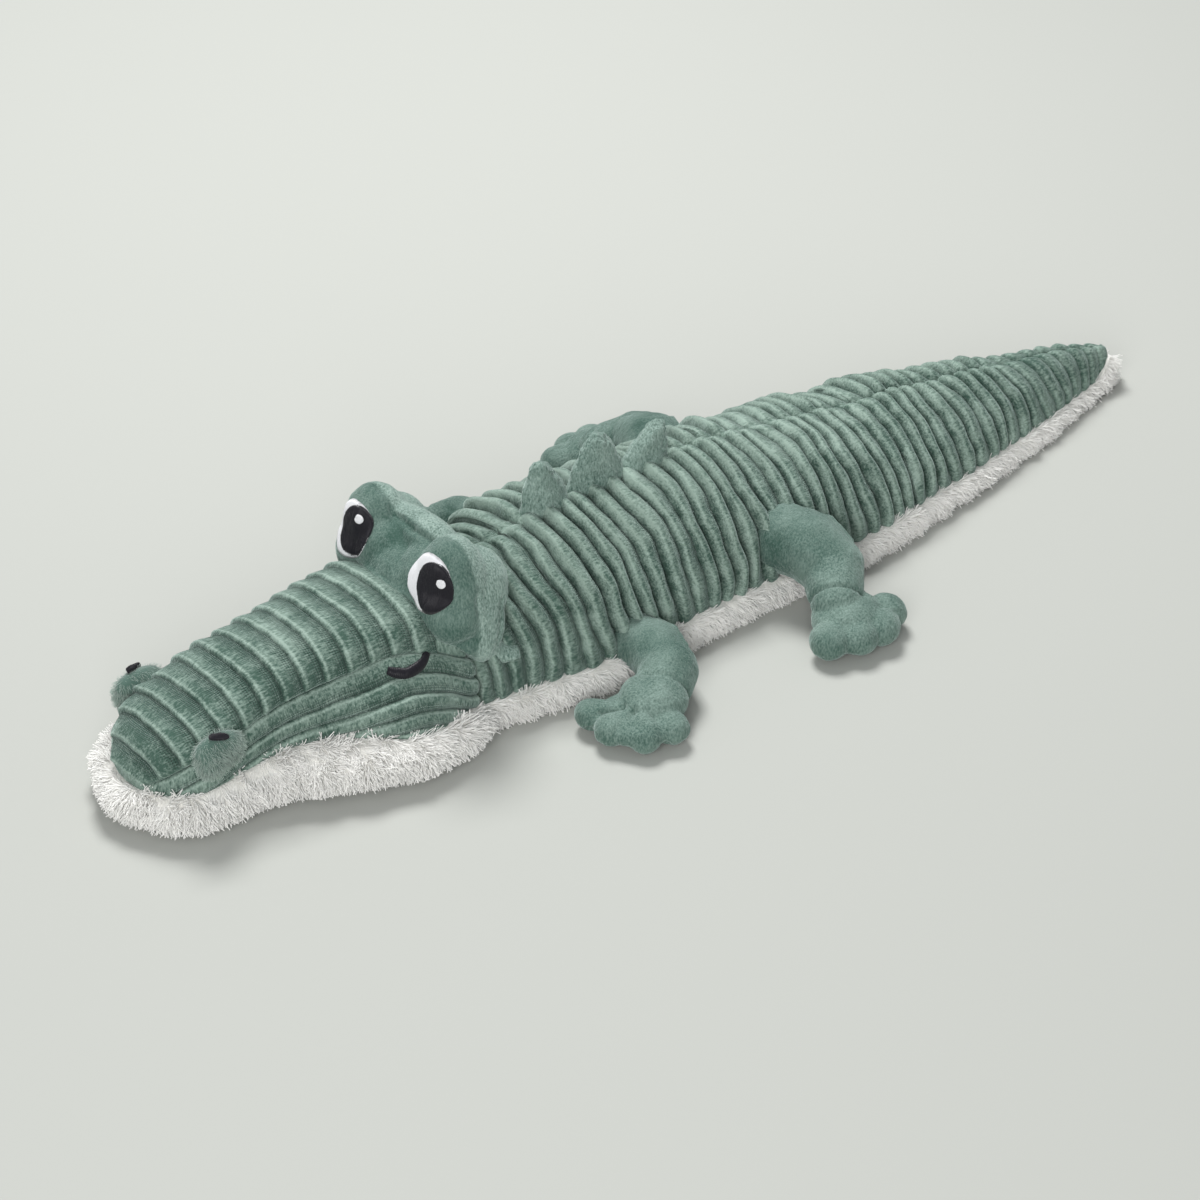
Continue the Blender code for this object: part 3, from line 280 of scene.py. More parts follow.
FRONT_COVER = (-0.030, 0.080)
TORSO_COVER = (0.080, 0.288)
REAR_COVER = (0.288, 0.448)


def line_through(table, place):
    """Smooth line through (place, value) pairs that never swings past them."""
    xs, ys = np.array(table).T
    slope = np.diff(ys) / np.diff(xs)
    before, after = slope[:-1], slope[1:]
    total = np.where(before + after == 0, 1.0, before + after)
    turn = np.concatenate(([slope[0]], np.where(before * after > 0, 2 * before * after / total, 0),
                           [slope[-1]]))
    place = np.clip(place, xs[0], xs[-1])
    i = np.clip(np.searchsorted(xs, place, side="right") - 1, 0, len(xs) - 2)
    span = xs[i + 1] - xs[i]
    t = (place - xs[i]) / span
    return (ys[i] * (1 + 2 * t) * (1 - t) ** 2 + ys[i + 1] * t * t * (3 - 2 * t)
            + span * turn[i] * t * (1 - t) ** 2 - span * turn[i + 1] * t * t * (1 - t))


def eased(low, high, value):
    t = np.clip((value - low) / (high - low), 0, 1)
    return t * t * (3 - 2 * t)


def new_piece(name, points, faces, fields=()):
    """Mesh object with smooth faces turned outwards, and one float attribute per field."""
    mesh = bpy.data.meshes.new(name)
    mesh.from_pydata(np.asarray(points).reshape(-1, 3).tolist(), [], faces)
    for label, values in dict(fields).items():
        attribute = mesh.attributes.new(label, "FLOAT", "POINT")
        attribute.data.foreach_set("value", np.asarray(values, dtype=np.float32).ravel())
    work = bmesh.new()
    work.from_mesh(mesh)
    bmesh.ops.recalc_face_normals(work, faces=work.faces)
    work.to_mesh(mesh)
    work.free()
    mesh.shade_smooth()
    piece = bpy.data.objects.new(name, mesh)
    bpy.context.collection.objects.link(piece)
    return piece


def grid_faces(rows, columns, closed=False):
    """Quads of a grid of points, joined round its columns where it is closed."""
    wide = columns if closed else columns - 1
    return [(r * columns + c, r * columns + (c + 1) % columns,
             (r + 1) * columns + (c + 1) % columns, (r + 1) * columns + c)
            for r in range(rows - 1) for c in range(wide)]


def closed_loft(rings):
    """Points and faces of a solid through rings, with a fan on each end."""
    rings = np.asarray(rings)
    rows, columns = rings.shape[:2]
    points = np.concatenate((rings.reshape(-1, 3), [rings[0].mean(0)], [rings[-1].mean(0)]))
    faces = grid_faces(rows, columns, True)
    for c in range(columns):
        faces.append((rows * columns, (c + 1) % columns, c))
        base = (rows - 1) * columns
        faces.append((rows * columns + 1, base + c, base + (c + 1) % columns))
    return points, faces


def body_size(distance):
    """Half width and height of the body at distances from the neck."""
    share = distance / LENGTH
    slim = 1 - 0.07 * eased(0.0, 0.02, -distance)
    return (HALF_WIDTH * line_through(WIDTHS, share) * slim,
            TALL * line_through(HEIGHTS, share) * (1 - 0.03 * eased(0.0, 0.02, -distance)))


def seam_level(distance):
    """Height of the side seam, lower towards the tail's end."""
    return SEAM_LEVEL - SEAM_DROP - TAIL_DROP * eased(0.30, 0.75, distance)


def new_tree(name, form, *sizes, **others):
    """Empty geometry tree with a named input for its form, each size and its finish."""
    tree = bpy.data.node_groups.new(name, "GeometryNodeTree")
    kinds = {form: "Geometry", **dict.fromkeys(sizes, "Float"), **others, "Finish": "Material"}
    for label, kind in kinds.items():
        tree.interface.new_socket(label.replace("_", " "), in_out="INPUT", socket_type="NodeSocket" + kind)
    tree.interface.new_socket("Made", in_out="OUTPUT", socket_type="NodeSocketGeometry")
    given = tree.nodes.new("NodeGroupInput")
    return Bench(tree), {s.name.replace(" ", "_"): Field(s) for s in given.outputs if s.name}


def end_tree(bench, size, made):
    """Ends a geometry tree with all that it made real, in the finish that it was given."""
    made = bench.node("GeometryNodeRealizeInstances", {"Geometry": made})
    made = bench.node("GeometryNodeSetMaterial", {"Geometry": made, "Material": size["Finish"]})
    feed(bench.tree.nodes.new("NodeGroupOutput").inputs["Made"], made)
    return bench.tree


def moved(bench, form, rise):
    """Moves each point of a form out along its normal."""
    offset = bench.vector("SCALE", bench.node("GeometryNodeInputNormal"), rise)
    return bench.node("GeometryNodeSetPosition", {"Geometry": form, "Offset": offset})


def named(bench, label):
    return bench.node("GeometryNodeInputNamedAttribute", {"Name": label}, data_type="FLOAT")


def kept(bench, made, label, value, domain="POINT", kind="FLOAT"):
    return bench.node("GeometryNodeStoreNamedAttribute", {"Geometry": made, "Name": label, "Value": value},
                      data_type=kind, domain=domain)


def rib_tree():
    """Geometry nodes that raise a smooth cover into ribs along its rib_line, each crest near its front."""
    bench, size = new_tree("sewn_ribs", "Cover", "Height", "Breadth", "Rear_Breadth", "Front",
                           "Wander", "Wander_Size", "Lump_Height", "Lump_Size")
    place = bench.node("GeometryNodeInputPosition")
    drift = bench.noise(size["Wander_Size"], 2.5, place)
    cover = kept(bench, size["Cover"], "rib_line", named(bench, "rib_line") + (drift - 0.5) * size["Wander"])
    along = named(bench, "rib_line").part()
    fade = named(bench, "rib_fade")
    front = size["Front"]
    rising = ((front - along) / front).clamped() ** size["Breadth"]
    falling = ((along - front) / (1.0 - front)).clamped() ** size["Rear_Breadth"]
    crest = 1.0 - rising - falling
    lump = bench.noise(size["Lump_Size"], 1.5, place)
    count = named(bench, "rib_line")
    single = bench.node("ShaderNodeTexWhiteNoise", {"W": count.math("FLOOR", count)}, noise_dimensions="1D")
    tall = size["Height"] * (lump * 1.5 + single * 0.7 - 0.10)
    rise = ((crest - 0.35) * tall + (lump - 0.5) * size["Lump_Height"]) * fade
    cover = kept(bench, moved(bench, cover, rise), "crest", crest * fade + (1.0 - fade) * 0.6)
    return end_tree(bench, size, cover)


def worked(piece, tree, **sizes):
    """Runs a geometry tree on a piece with these sizes, and keeps the plain mesh that it makes."""
    modifier = piece.modifiers.new("work", "NODES")
    modifier.node_group = tree
    keys = {item.name.lower().replace(" ", "_"): item.identifier
            for item in tree.interface.items_tree if item.in_out == "INPUT"}
    for label, value in sizes.items():
        modifier[keys[label]] = value
    return plain(piece)


def plain(piece):
    """Keeps what a piece's modifiers make as its own mesh."""
    drawn = piece.evaluated_get(bpy.context.evaluated_depsgraph_get())
    mesh = bpy.data.meshes.new_from_object(drawn)
    piece.modifiers.clear()
    piece.data = mesh
    mesh.shade_smooth()
    return piece


def ribbed_velvet(name, stroke, lightness):
    """Brushed pile on each rib: a pale crisp front edge as a painted highlight, then nap that thins out to
    the knit behind it, darkened there and in the channel as painted shade, and painted paler high up as
    painted top light.
    """
    material, shader, bench = finish_named(name, 0.92, 0.55, NAP_SHEEN, 0.35)
    line, run, fade = (bench.attribute(label) for label in ("rib_line", "rib_run", "rib_fade"))
    place = bench.spot()
    swept = bench.node("ShaderNodeMapping", {"Vector": place, "Scale": stroke})
    patches = bench.noise(NAP_PATCH, 3.0, place, roughness=0.6)
    blotches = bench.noise(NAP_BLOTCH, 2.0, swept)
    strokes = bench.noise(NAP_STROKE, 2.0, swept, roughness=0.7)
    level = Field(bench.node("ShaderNodeSeparateXYZ", {"Vector": place}).socket.node.outputs["Z"])
    along = line.part() + (blotches - 0.5) * 0.12
    # The pale front edge of each rib is a painted highlight, where the pile catches the light.
    edge = (1.0 - abs(along - 0.17) * 9.0).clamped() * fade
    # Painted shade: the rear slope of each rib is darkened, and the channel between ribs and the knit's holes
    # take the dark channel tone.
    rear = ((along - 0.42) * 2.6).clamped() * fade
    gap = ((along - 0.88) * 7.0).over((0.09 - along) * 10.0).clamped() * fade
    hole = ((line * 9.0).zigzag() + run.zigzag() - 0.8).clamped() * rear
    nap = (patches - 0.5) * 1.2 + (blotches - 0.5) * 0.7 + (strokes - 0.5) * 2.0 + edge * 0.55 - rear * 0.12
    # Painted top light: the nap is painted paler above a set height.
    nap = nap + ((level - SHADED_LEVEL) * 25.0).clamped() * 0.28 + lightness
    tone = bench.mix(nap.clamped(), BACK_BODY, BACK_CREST)
    tone = bench.mix((hole * 0.75).over(gap * 0.8), tone, PAINTED_CHANNEL_SHADE)
    feed(shader.inputs["Base Color"], tone)
    bench.bump(shader, 0.8, NAP_DEPTH, strokes * 0.8 + blotches * 0.7 + patches * 0.5 - hole * 0.8)
    return material


def back_rows(start, end):
    """Grid of points on the back, its rows along the bowed ribs, with the rib count at each."""
    rows = round((end - start) / RIB * ROWS_PER_RIB) + 1
    station = np.linspace(start, end, rows)[:, None]
    turn = np.linspace(0, math.pi, AROUND + 1)[None, :]
    bow = BOW * (1 - eased(LENGTH - 0.07, LENGTH, station)) * eased(-0.02, 0.02, station)
    distance = station - bow * np.sin(turn) ** 1.5
    wide, tall = body_size(distance)
    seam = seam_level(distance)
    rise = tall - seam
    groove = SPINE_GROOVE * np.exp(-((turn - math.pi / 2) * wide / SPINE_WIDTH) ** 2)
    y = -(wide - groove) * np.cos(turn)
    z = seam + (rise - groove) * np.sin(turn)
    shift = 0.18 * np.tanh((turn - math.pi / 2) * 30)
    line = station / RIB + shift + 0 * turn
    fade = 0.55 + 0.45 * eased(0.0, 0.25, np.minimum(turn, math.pi - turn)) + 0 * station
    fade = fade * (1 - 0.5 * np.exp(-((turn - math.pi / 2) * wide / 0.006) ** 2))
    fade = fade * (0.38 + 0.62 * eased(0.15, 0.80, wide / HALF_WIDTH))
    grid = np.stack((NECK_X + distance + 0 * turn, y, z), 2)
    return grid, line, fade, run_along(grid) / STITCH


def run_along(grid):
    """Length along each row of a grid from its first point."""
    steps = np.linalg.norm(np.diff(grid, axis=1), axis=2)
    return np.concatenate((np.zeros((len(grid), 1)), np.cumsum(steps, axis=1)), 1)


def rib_fields(line, fade, run, spare=2):
    """The three rib attributes of a cover, with spare blank points at its ends."""
    return {label: np.append(values.ravel(), np.zeros(spare))
            for label, values in (("rib_line", line), ("rib_fade", fade), ("rib_run", run))}


def back_cover(name, start, end, finish, ribs):
    grid, *fields = back_rows(start, end)
    points, faces = closed_loft(grid)
    piece = new_piece(name, points, faces, rib_fields(*fields))
    return worked(piece, ribs, finish=finish, **BACK_RIBS)


def blend_at(piece, body, next_body, start, end):
    """Bakes a piece's transform into its mesh."""
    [(NECK_X + distance, 0.0, 0.05) for distance in (start, end)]
    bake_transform(piece)


def blend_all(front, rear, tail):
    blend_at(front, "head", "torso", *NECK_BEND)
    blend_at(rear, "torso", "tail_base", TAIL_BEND - BEND_REACH, TAIL_BEND + BEND_REACH)
    blend_at(tail, "tail_base", "tail_tip", TIP_BEND - BEND_REACH, TIP_BEND + BEND_REACH)


def dress_back():
    finish = ribbed_velvet("ribbed_velvet_back", ACROSS_RIBS, 0.31)
    ribs = rib_tree()
    front = back_cover("back_cover_front", *FRONT_COVER, finish, ribs)
    torso = back_cover("back_cover_torso", *TORSO_COVER, finish, ribs)
    rear = back_cover("back_cover_rear", *REAR_COVER, finish, ribs)
    tail = back_cover("back_cover_tail", REAR_COVER[1], LENGTH, finish, ribs)
    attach(torso, "torso")
    blend_all(front, rear, tail)
    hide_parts("neck_sleeve", "neck_filling")
    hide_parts("torso_back_panel_left", "torso_back_panel_right", "torso_filling")
    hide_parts("tail_base_back_panel_left", "tail_base_back_panel_right", "tail_base_filling")
    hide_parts("tail_tip_back_panel_left", "tail_tip_back_panel_right", "tail_tip_filling")
    return ribs


ribs = dress_back()

# Belly: one long panel of white long-pile fabric under the body, its pile showing along both sides.
# It is sewn into the side seams of the back and lies flat on the floor between them.
# The root colour is painted shade: roots and backing are darkened as if shaded by the strands above them.
PILE_ROOT_SHADE = (0.74, 0.73, 0.69, 1.0)
PILE_TIP = (0.99, 0.98, 0.95, 1.0)
BELLY_SWELL = 1.11
BELLY_ROWS_PER_RIB = 5
BELLY_STRAND = 0.0098
STRANDS_PER_AREA = 740000.0
STRAND_WIDTH = 0.035
TAIL_TUFT = 0.011
PILE_PATCH = 0.016
TUFT = 0.0016
BELLY_PILE = {"strand_length": BELLY_STRAND, "per_area": STRANDS_PER_AREA, "comb": (0.30, 0.0, -0.95),
              "lock": 1.6, "lock_size": 0.015}
SIDE_PROFILE = ((0.55, 0.97, 0.0), (0.90, 0.98, 0.0), (0.965, 1.00, 0.9), (0.995, 0.90, 1.0),
                (1.015, 0.74, 1.0), (1.0, 0.58, 1.0), (1.0, 0.44, 1.0), (0.985, 0.30, 1.0),
                (0.955, 0.18, 0.9), (0.91, 0.08, 0.6), (0.85, 0.02, 0.3), (0.78, 0.0, 0.0),
                (0.5, 0.0, 0.0), (0.2, 0.0, 0.0))
BAKE_MAP = "OFBake"


def pile_tree():
    """Geometry nodes that plant tapering, curling strands on a backing where its pile is above zero."""
    bench, size = new_tree("planted_pile", "Backing", "Strand_Length", "Per_Area", "Lock", "Lock_Size",
                           Comb="Vector", Seed="Int")
    share = bench.node("GeometryNodeSplineParameter")
    hair = bench.node("GeometryNodeCurveQuadraticBezier", {"Resolution": 2, "Start": (0.0, 0.0, -0.08),
                      "Middle": (0.03, 0.0, 0.60), "End": (0.30, 0.0, 0.93)})
    hair = kept(bench, hair, "strand_share", share)
    hair = bench.node("GeometryNodeSetCurveRadius", {"Curve": hair, "Radius": (1.0 - share) * 0.92 + 0.08})
    rim = bench.node("GeometryNodeCurvePrimitiveCircle", {"Resolution": 3, "Radius": STRAND_WIDTH})
    hair = bench.node("GeometryNodeCurveToMesh", {"Curve": hair, "Profile Curve": rim, "Fill Caps": True})
    planted = bench.node("GeometryNodeDistributePointsOnFaces",
                         {"Mesh": size["Backing"], "Density": size["Per_Area"] * named(bench, "pile"),
                          "Seed": size["Seed"]})
    outward = Field(planted.socket.node.outputs["Normal"])
    drift = bench.vector("SUBTRACT", bench.noise(size["Lock_Size"], 1.0, output=1), (0.5, 0.5, 0.5))
    lean = bench.vector("ADD", outward, bench.vector("SCALE", drift, size["Lock"]))
    lean = bench.vector("ADD", lean, size["Comb"])
    aimed = bench.node("FunctionNodeAlignRotationToVector", {"Vector": lean}, axis="Z")
    spin = bench.node("FunctionNodeRandomValue", {0: (0.0, 0.0, 0.0), 1: (0.0, 0.0, 6.283), "Seed": 3},
                      data_type="FLOAT_VECTOR")
    aimed = bench.node("FunctionNodeRotateRotation", {"Rotation": aimed, "Rotate By":
                       bench.node("FunctionNodeEulerToRotation", {"Euler": spin})}, rotation_space="LOCAL")
    tall = bench.random(0.60, 1.12, 5)
    coat = bench.node("GeometryNodeInstanceOnPoints",
                      {"Points": planted, "Instance": hair, "Rotation": aimed,
                       "Scale": tall * size["Strand_Length"] * (named(bench, "pile") * 0.4 + 0.6)})
    coat = kept(bench, coat, "strand_tint", bench.random(0.0, 1.0, 7), "INSTANCE")
    coat = bench.node("GeometryNodeRealizeInstances", {"Geometry": coat})
    place = bench.node("GeometryNodeInputPosition")
    parts = bench.node("ShaderNodeSeparateXYZ", {"Vector": place})
    level = Field(parts.socket.node.outputs["Z"])
    rested = bench.node("ShaderNodeCombineXYZ", {"X": parts, "Y": Field(parts.socket.node.outputs["Y"]),
                        "Z": level.over(0.0008)})
    coat = bench.node("GeometryNodeSetPosition", {"Geometry": coat, "Position": rested})
    side = parts * 61.0
    corner = bench.node("ShaderNodeCombineXYZ", {"X": named(bench, "strand_tint") * 0.95 + side.part() * 0.03,
                        "Y": named(bench, "strand_share") * 0.08})
    coat = kept(bench, coat, BAKE_MAP, corner, "CORNER", "FLOAT2")
    joined = bench.tree.nodes.new("GeometryNodeJoinGeometry")
    feed(joined.inputs[0], size["Backing"])
    feed(joined.inputs[0], coat)
    return end_tree(bench, size, Field(joined.outputs[0]))


def pile_finish(name, root_shade, tip, shade):
    """Loose pile: darker at the root as painted shade, each strand a little different, in soft patches
    darkened towards that painted shade.
    """
    material, shader, bench = finish_named(name, 0.8, 0.6, (1.0, 1.0, 1.0, 1.0), 0.5)
    share, tint = bench.attribute("strand_share"), bench.attribute("strand_tint")
    patches = bench.noise(PILE_PATCH, 2.0, bench.spot())
    tone = bench.mix((share * 1.9 + (tint - 0.5) * 0.35 + (patches - 0.5) * 0.6 + 0.1).clamped(), root_shade, tip)
    tone = bench.mix((patches - 0.55).clamped() * shade, tone, root_shade)
    feed(shader.inputs["Base Color"], tone)
    return material


def mapped(piece, rows, columns, floor=0.12):
    """Bake map for a lofted piece: along it and round it, above the strip kept for strands."""
    layer = piece.data.uv_layers.new(name=BAKE_MAP)
    count = rows * columns
    for face in piece.data.polygons:
        spots = [piece.data.loops[i].vertex_index for i in face.loop_indices]
        poles = {count: (0, columns / 2), count + 1: (rows - 1, columns / 2)}
        grid = [poles.get(v) or divmod(v, columns) for v in spots]
        wrap = max(c for _, c in grid) - min(c for _, c in grid) > columns / 2 + 1
        for loop, (r, c) in zip(face.loop_indices, grid):
            c = c + columns if wrap and c < columns / 2 else c
            layer.data[loop].uv = (r / rows, floor + (1 - floor) * min(c / (columns + 1), 1.0))
    return piece


def tufts(distance):
    """Uneven swelling of the pile along a seam."""
    return TUFT * np.sin(distance * 6.283 / 0.019 + 1.9 * np.sin(distance * 6.283 / 0.047))


def belly_section(name, start, end, tuft, finish, pile):
    rows = round((end - start) / RIB * BELLY_ROWS_PER_RIB) + 1
    distance = np.linspace(start, end, rows)
    if tuft:
        distance = np.append(distance, end + TAIL_TUFT * np.array((0.4, 0.75, 0.95)))
    across, up, show = np.array(SIDE_PROFILE).T
    wide, tall = body_size(distance)
    swell = wide * BELLY_SWELL + tufts(distance)
    level = seam_level(distance) + 0.001
    if tuft:
        past = np.clip((distance - end) / TAIL_TUFT, 0, 1)
        swell = swell * np.sqrt(1 - past ** 2)
        lift = eased(LENGTH - 0.02, LENGTH, distance) * np.sqrt(1 - past ** 2)
        level = level + (tall * 0.75 - level) * lift
    half_y = swell[:, None] * across[None, :]
    half_z = level[:, None] * up[None, :]
    left = np.stack((np.repeat(NECK_X + distance[:, None], len(up), 1), -half_y, half_z), 2)
    right = left[:, ::-1] * (1, -1, 1)
    rings = np.concatenate((left, right), 1)
    points, faces = closed_loft(rings)
    both = np.tile(np.concatenate((show, show[::-1])), len(distance))
    piece = new_piece(name, points, faces, {"pile": np.append(both, (0, 0))})
    mapped(piece, len(distance), 2 * len(up))
    return worked(piece, pile, seed=round(start * 1000) % 97, finish=finish, **BELLY_PILE)


def dress_belly():
    finish = pile_finish("white_long_pile_pile", PILE_ROOT_SHADE, PILE_TIP, 0.4)
    pile = pile_tree()
    front = belly_section("belly_front", -0.020, FRONT_COVER[1], False, finish, pile)
    torso = belly_section("belly_torso", *TORSO_COVER, False, finish, pile)
    rear = belly_section("belly_rear", *REAR_COVER, False, finish, pile)
    tail = belly_section("belly_tail", REAR_COVER[1], LENGTH, True, finish, pile)
    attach(torso, "torso")
    blend_all(front, rear, tail)
    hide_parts("torso_belly_panel")
    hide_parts("tail_base_belly_panel")
    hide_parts("tail_tip_belly_panel", "tail_end_fur")
    return finish, pile


white_pile, pile = dress_belly()

# Head covers: a wide-rib panel over the snout with its ribs across, and one panel on each cheek
# with its ribs lengthwise, cut off by the lower seam. They are sewn edge to edge and stuffed.
HEAD_LENGTH = 0.272
HEAD_HALF = 0.094
HEAD_TALL = 0.112
HEAD_REAR = 0.066
NOSE_BULGE = 0.008
CHEEK_BULGE = 0.007
SNOUT_START = 0.150
SNOUT_RIBS = 14
CHEEK_RIB = 0.0145
CHEEK_STEPS = 60
CROWN_STEPS = 28
CROWN_POWER = 0.75
CHEEK_RIBS = {"height": 0.0042, "breadth": 3.0, "rear_breadth": 4.0, "front": 0.40, "wander": 0.30,
              "wander_size": 0.04, "lump_height": 0.003, "lump_size": 0.04}
SNOUT_RIB_SIZES = {"height": 0.0032, "breadth": 1.6, "rear_breadth": 1.2, "front": 0.15, "wander": 0.24,
                   "wander_size": 0.05, "lump_height": 0.0026, "lump_size": 0.035}
CHEEK_FLOOR = 0.022
SNOUT_LIFT = 0.0030
SNOUT_BACK = -0.0025
SNOUT_ROLL = 0.004
ALONG_RIBS = (1.0, 1.0, 0.35)
SEAM_WIDTHS = ((-0.1, 0.78), (0.0, 0.80), (0.066, 0.83), (0.176, 0.97), (0.294, 1.0), (0.412, 0.80),
               (0.529, 0.585), (0.647, 0.51), (0.765, 0.53), (0.882, 0.56), (0.96, 0.45), (1.0, 0.22))
SEAM_HEIGHTS = ((-0.1, 0.22), (0.0, 0.23), (0.066, 0.23), (0.176, 0.27), (0.294, 0.295), (0.412, 0.33),
                (0.529, 0.35), (0.647, 0.35), (0.765, 0.33), (0.882, 0.31), (0.96, 0.295), (1.0, 0.29))
EDGE_WIDTHS = ((-0.1, 0.70), (0.0, 0.72), (0.066, 0.74), (0.176, 0.65), (0.294, 0.58), (0.412, 0.54),
               (0.529, 0.50), (0.647, 0.49), (0.765, 0.50), (0.882, 0.49), (0.96, 0.38), (1.0, 0.20))
EDGE_HEIGHTS = ((-0.1, 0.52), (0.0, 0.55), (0.066, 0.59), (0.176, 0.71), (0.294, 0.77), (0.412, 0.75),
                (0.529, 0.73), (0.647, 0.70), (0.765, 0.635), (0.882, 0.56), (0.96, 0.446), (1.0, 0.32))
CROWN_HEIGHTS = ((-0.1, 0.84), (0.0, 0.875), (0.066, 0.93), (0.176, 1.0), (0.294, 1.0), (0.412, 0.985),
                 (0.529, 0.95), (0.647, 0.90), (0.765, 0.82), (0.882, 0.70), (0.96, 0.56), (1.0, 0.34))


def head_skin(share, outset=0.0):
    """Rows of the head from the left seam over the crown to the right seam, moved out by outset."""
    share = np.asarray(share, dtype=float)[:, None]
    side = np.linspace(0, 1, CHEEK_STEPS + 1)[None, :]
    turn = np.linspace(0, math.pi / 2, CROWN_STEPS + 1)[None, 1:]
    seam_y, edge_y = (HEAD_HALF * line_through(table, share) for table in (SEAM_WIDTHS, EDGE_WIDTHS))
    seam_z, edge_z = (HEAD_TALL * line_through(table, share) for table in (SEAM_HEIGHTS, EDGE_HEIGHTS))
    crown = HEAD_TALL * line_through(CROWN_HEIGHTS, share)
    bulge = CHEEK_BULGE * np.clip(2.2 * (1 - share), 0, 1) * np.sin(math.pi * side)
    y = np.concatenate((seam_y + (edge_y - seam_y) * side + bulge,
                        edge_y * np.clip(np.cos(turn), 0, 1) ** CROWN_POWER), 1)
    z = np.concatenate((seam_z + (edge_z - seam_z) * side, edge_z + (crown - edge_z) * np.sin(turn)), 1)
    round_off = np.clip((share - 0.85) / 0.15, 0, 1)
    x = NECK_X - HEAD_LENGTH * share - NOSE_BULGE * round_off * (1 - y / HEAD_HALF)
    left = np.stack((x, -y, z), 2)
    skin = np.concatenate((left, left[:, -2::-1] * (1, -1, 1)), 1)
    along, across = np.gradient(skin, axis=0), np.gradient(skin, axis=1)
    outward = np.cross(across, along)
    outward /= np.maximum(np.linalg.norm(outward, axis=2, keepdims=True), 1e-9)
    return skin + outward * np.broadcast_to(np.asarray(outset), skin.shape[:2])[:, :, None]


def crown_shares(start, count):
    """Shares evenly spaced along the crown from start to the nose."""
    tries = np.linspace(start, 1.0, 400)
    crown = head_skin(tries)[:, CHEEK_STEPS + CROWN_STEPS]
    run = np.concatenate(([0], np.cumsum(np.linalg.norm(np.diff(crown, axis=0), axis=1))))
    return np.interp(np.linspace(0, run[-1], count + 1), run, tries)


def cheek_cover(finish, ribs):
    """Whole head section as one stuffed form; only its cheeks are left uncovered."""
    share = np.linspace(HEAD_REAR, 0.995, 150)
    skin = head_skin(share)
    low = skin[:, [-1, 0]].copy()
    low[:, :, 1] *= 0.72
    low[:, :, 2] = CHEEK_FLOOR
    rings = np.concatenate((skin, low), 1)
    middle = rings[-1].mean(0)
    tips = [middle + (rings[-1] - middle) * s + (-f, 0, 0) for s, f in ((0.85, 0.002), (0.5, 0.004))]
    rings = np.concatenate((rings, tips))
    points, faces = closed_loft(rings)
    half = np.linspace(0, 1, CHEEK_STEPS + 1)[None, :]
    seam, edge = skin[:, 0], skin[:, CHEEK_STEPS]
    drop = np.linalg.norm(seam - edge, axis=1)[:, None] * (1 - half) / CHEEK_RIB
    show = eased(0.0, 0.06, half) * (1 - 0.6 * eased(0.93, 1.0, share))[:, None] + 0 * drop
    crown = np.zeros((len(share), 2 * CROWN_STEPS - 1))
    blank = np.zeros((len(share), 2))
    line = np.concatenate((drop, crown, drop[:, ::-1], blank), 1)
    fade = np.concatenate((show, crown, show[:, ::-1], blank), 1)
    run = HEAD_LENGTH * share[:, None] / STITCH + 0 * line
    piece = new_piece("cheek_cover", points, faces, rib_fields(line, fade, run, 2 * line.shape[1] + 2))
    return worked(piece, ribs, finish=finish, **CHEEK_RIBS)


def snout_cover(finish, ribs):
    """Sheet with rolled edges over the crown, its ribs evenly spaced from the brow to the nose."""
    share = crown_shares(SNOUT_START, SNOUT_RIBS * 16)
    first, last = CHEEK_STEPS - 1, CHEEK_STEPS + 2 * CROWN_STEPS + 2
    bare = head_skin(share)
    run = run_along(bare[:, first:last])
    edge = np.minimum(run, run[:, -1:] - run)
    roll = np.sqrt(np.clip(edge / SNOUT_ROLL, 0, 1))
    lift = np.zeros(bare.shape[:2])
    lift[:, first:last] = SNOUT_LIFT * roll
    outer = head_skin(share, lift)[:, first:last]
    inner = head_skin(share, SNOUT_BACK)[:, first:last][:, ::-1]
    points, faces = closed_loft(np.concatenate((outer, inner), 1))
    line = np.linspace(SNOUT_RIBS, 0, len(share))[:, None] + 0 * run
    fade = np.concatenate((eased(0.0, 0.005, edge), 0 * run), 1)
    fields = rib_fields(np.concatenate((line, line), 1), fade, np.concatenate((run, run), 1) / STITCH)
    piece = new_piece("snout_cover", points, faces, fields)
    return worked(piece, ribs, finish=finish, **SNOUT_RIB_SIZES)


def dress_head():
    along = ribbed_velvet("ribbed_velvet_cheek", ALONG_RIBS, 0.37)
    across = ribbed_velvet("ribbed_velvet_snout", ACROSS_RIBS, 0.15)
    cheeks = cheek_cover(along, ribs)
    snout = snout_cover(across, ribs)
    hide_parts("cheek_panel_left", "cheek_panel_right", "head_filling")
    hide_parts("snout_panel")
    for piece in (cheeks, snout):
        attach(piece, "head")


dress_head()

# Chin: a panel of the long pile under the head, swelling out as a lip below the cheeks.
# It is sewn round the lower head seam, and its pile stands out past the nose.
CHIN_LEVEL = 0.009
CHIN_STRAND = 0.0108
CHIN_PILE = {"strand_length": CHIN_STRAND, "per_area": STRANDS_PER_AREA, "comb": (0.10, 0.0, -0.90),
             "lock": 1.7, "lock_size": 0.016}
CHIN_SHOW = (0, 0, 0.25, 1, 1, 1, 1, 1, 0.7, 0.15, 0, 0, 0)
SEAM_TUCK = 0.004
NOSE_TUCK = 0.006
BITE = 0.13
MERGED = 1e-5
LIP_SWELLS = ((-0.1, 0.15), (0.066, 0.16), (0.176, 0.13), (0.294, 0.14), (0.412, 0.27), (0.529, 0.32),
              (0.647, 0.24), (0.765, 0.14), (0.882, 0.10), (1.0, 0.10))
LIP_PROFILE = ((-0.006, 0.90, 0.0), (0.0015, 1.02, 0.1), (0.0, 0.86, 0.75), (0.0, 0.66, 1.0),
               (0.0, 0.42, 1.0), (0.0, 0.22, 0.85), (0.0, 0.08, 0.62), (-0.006, 0.0, 0.35))


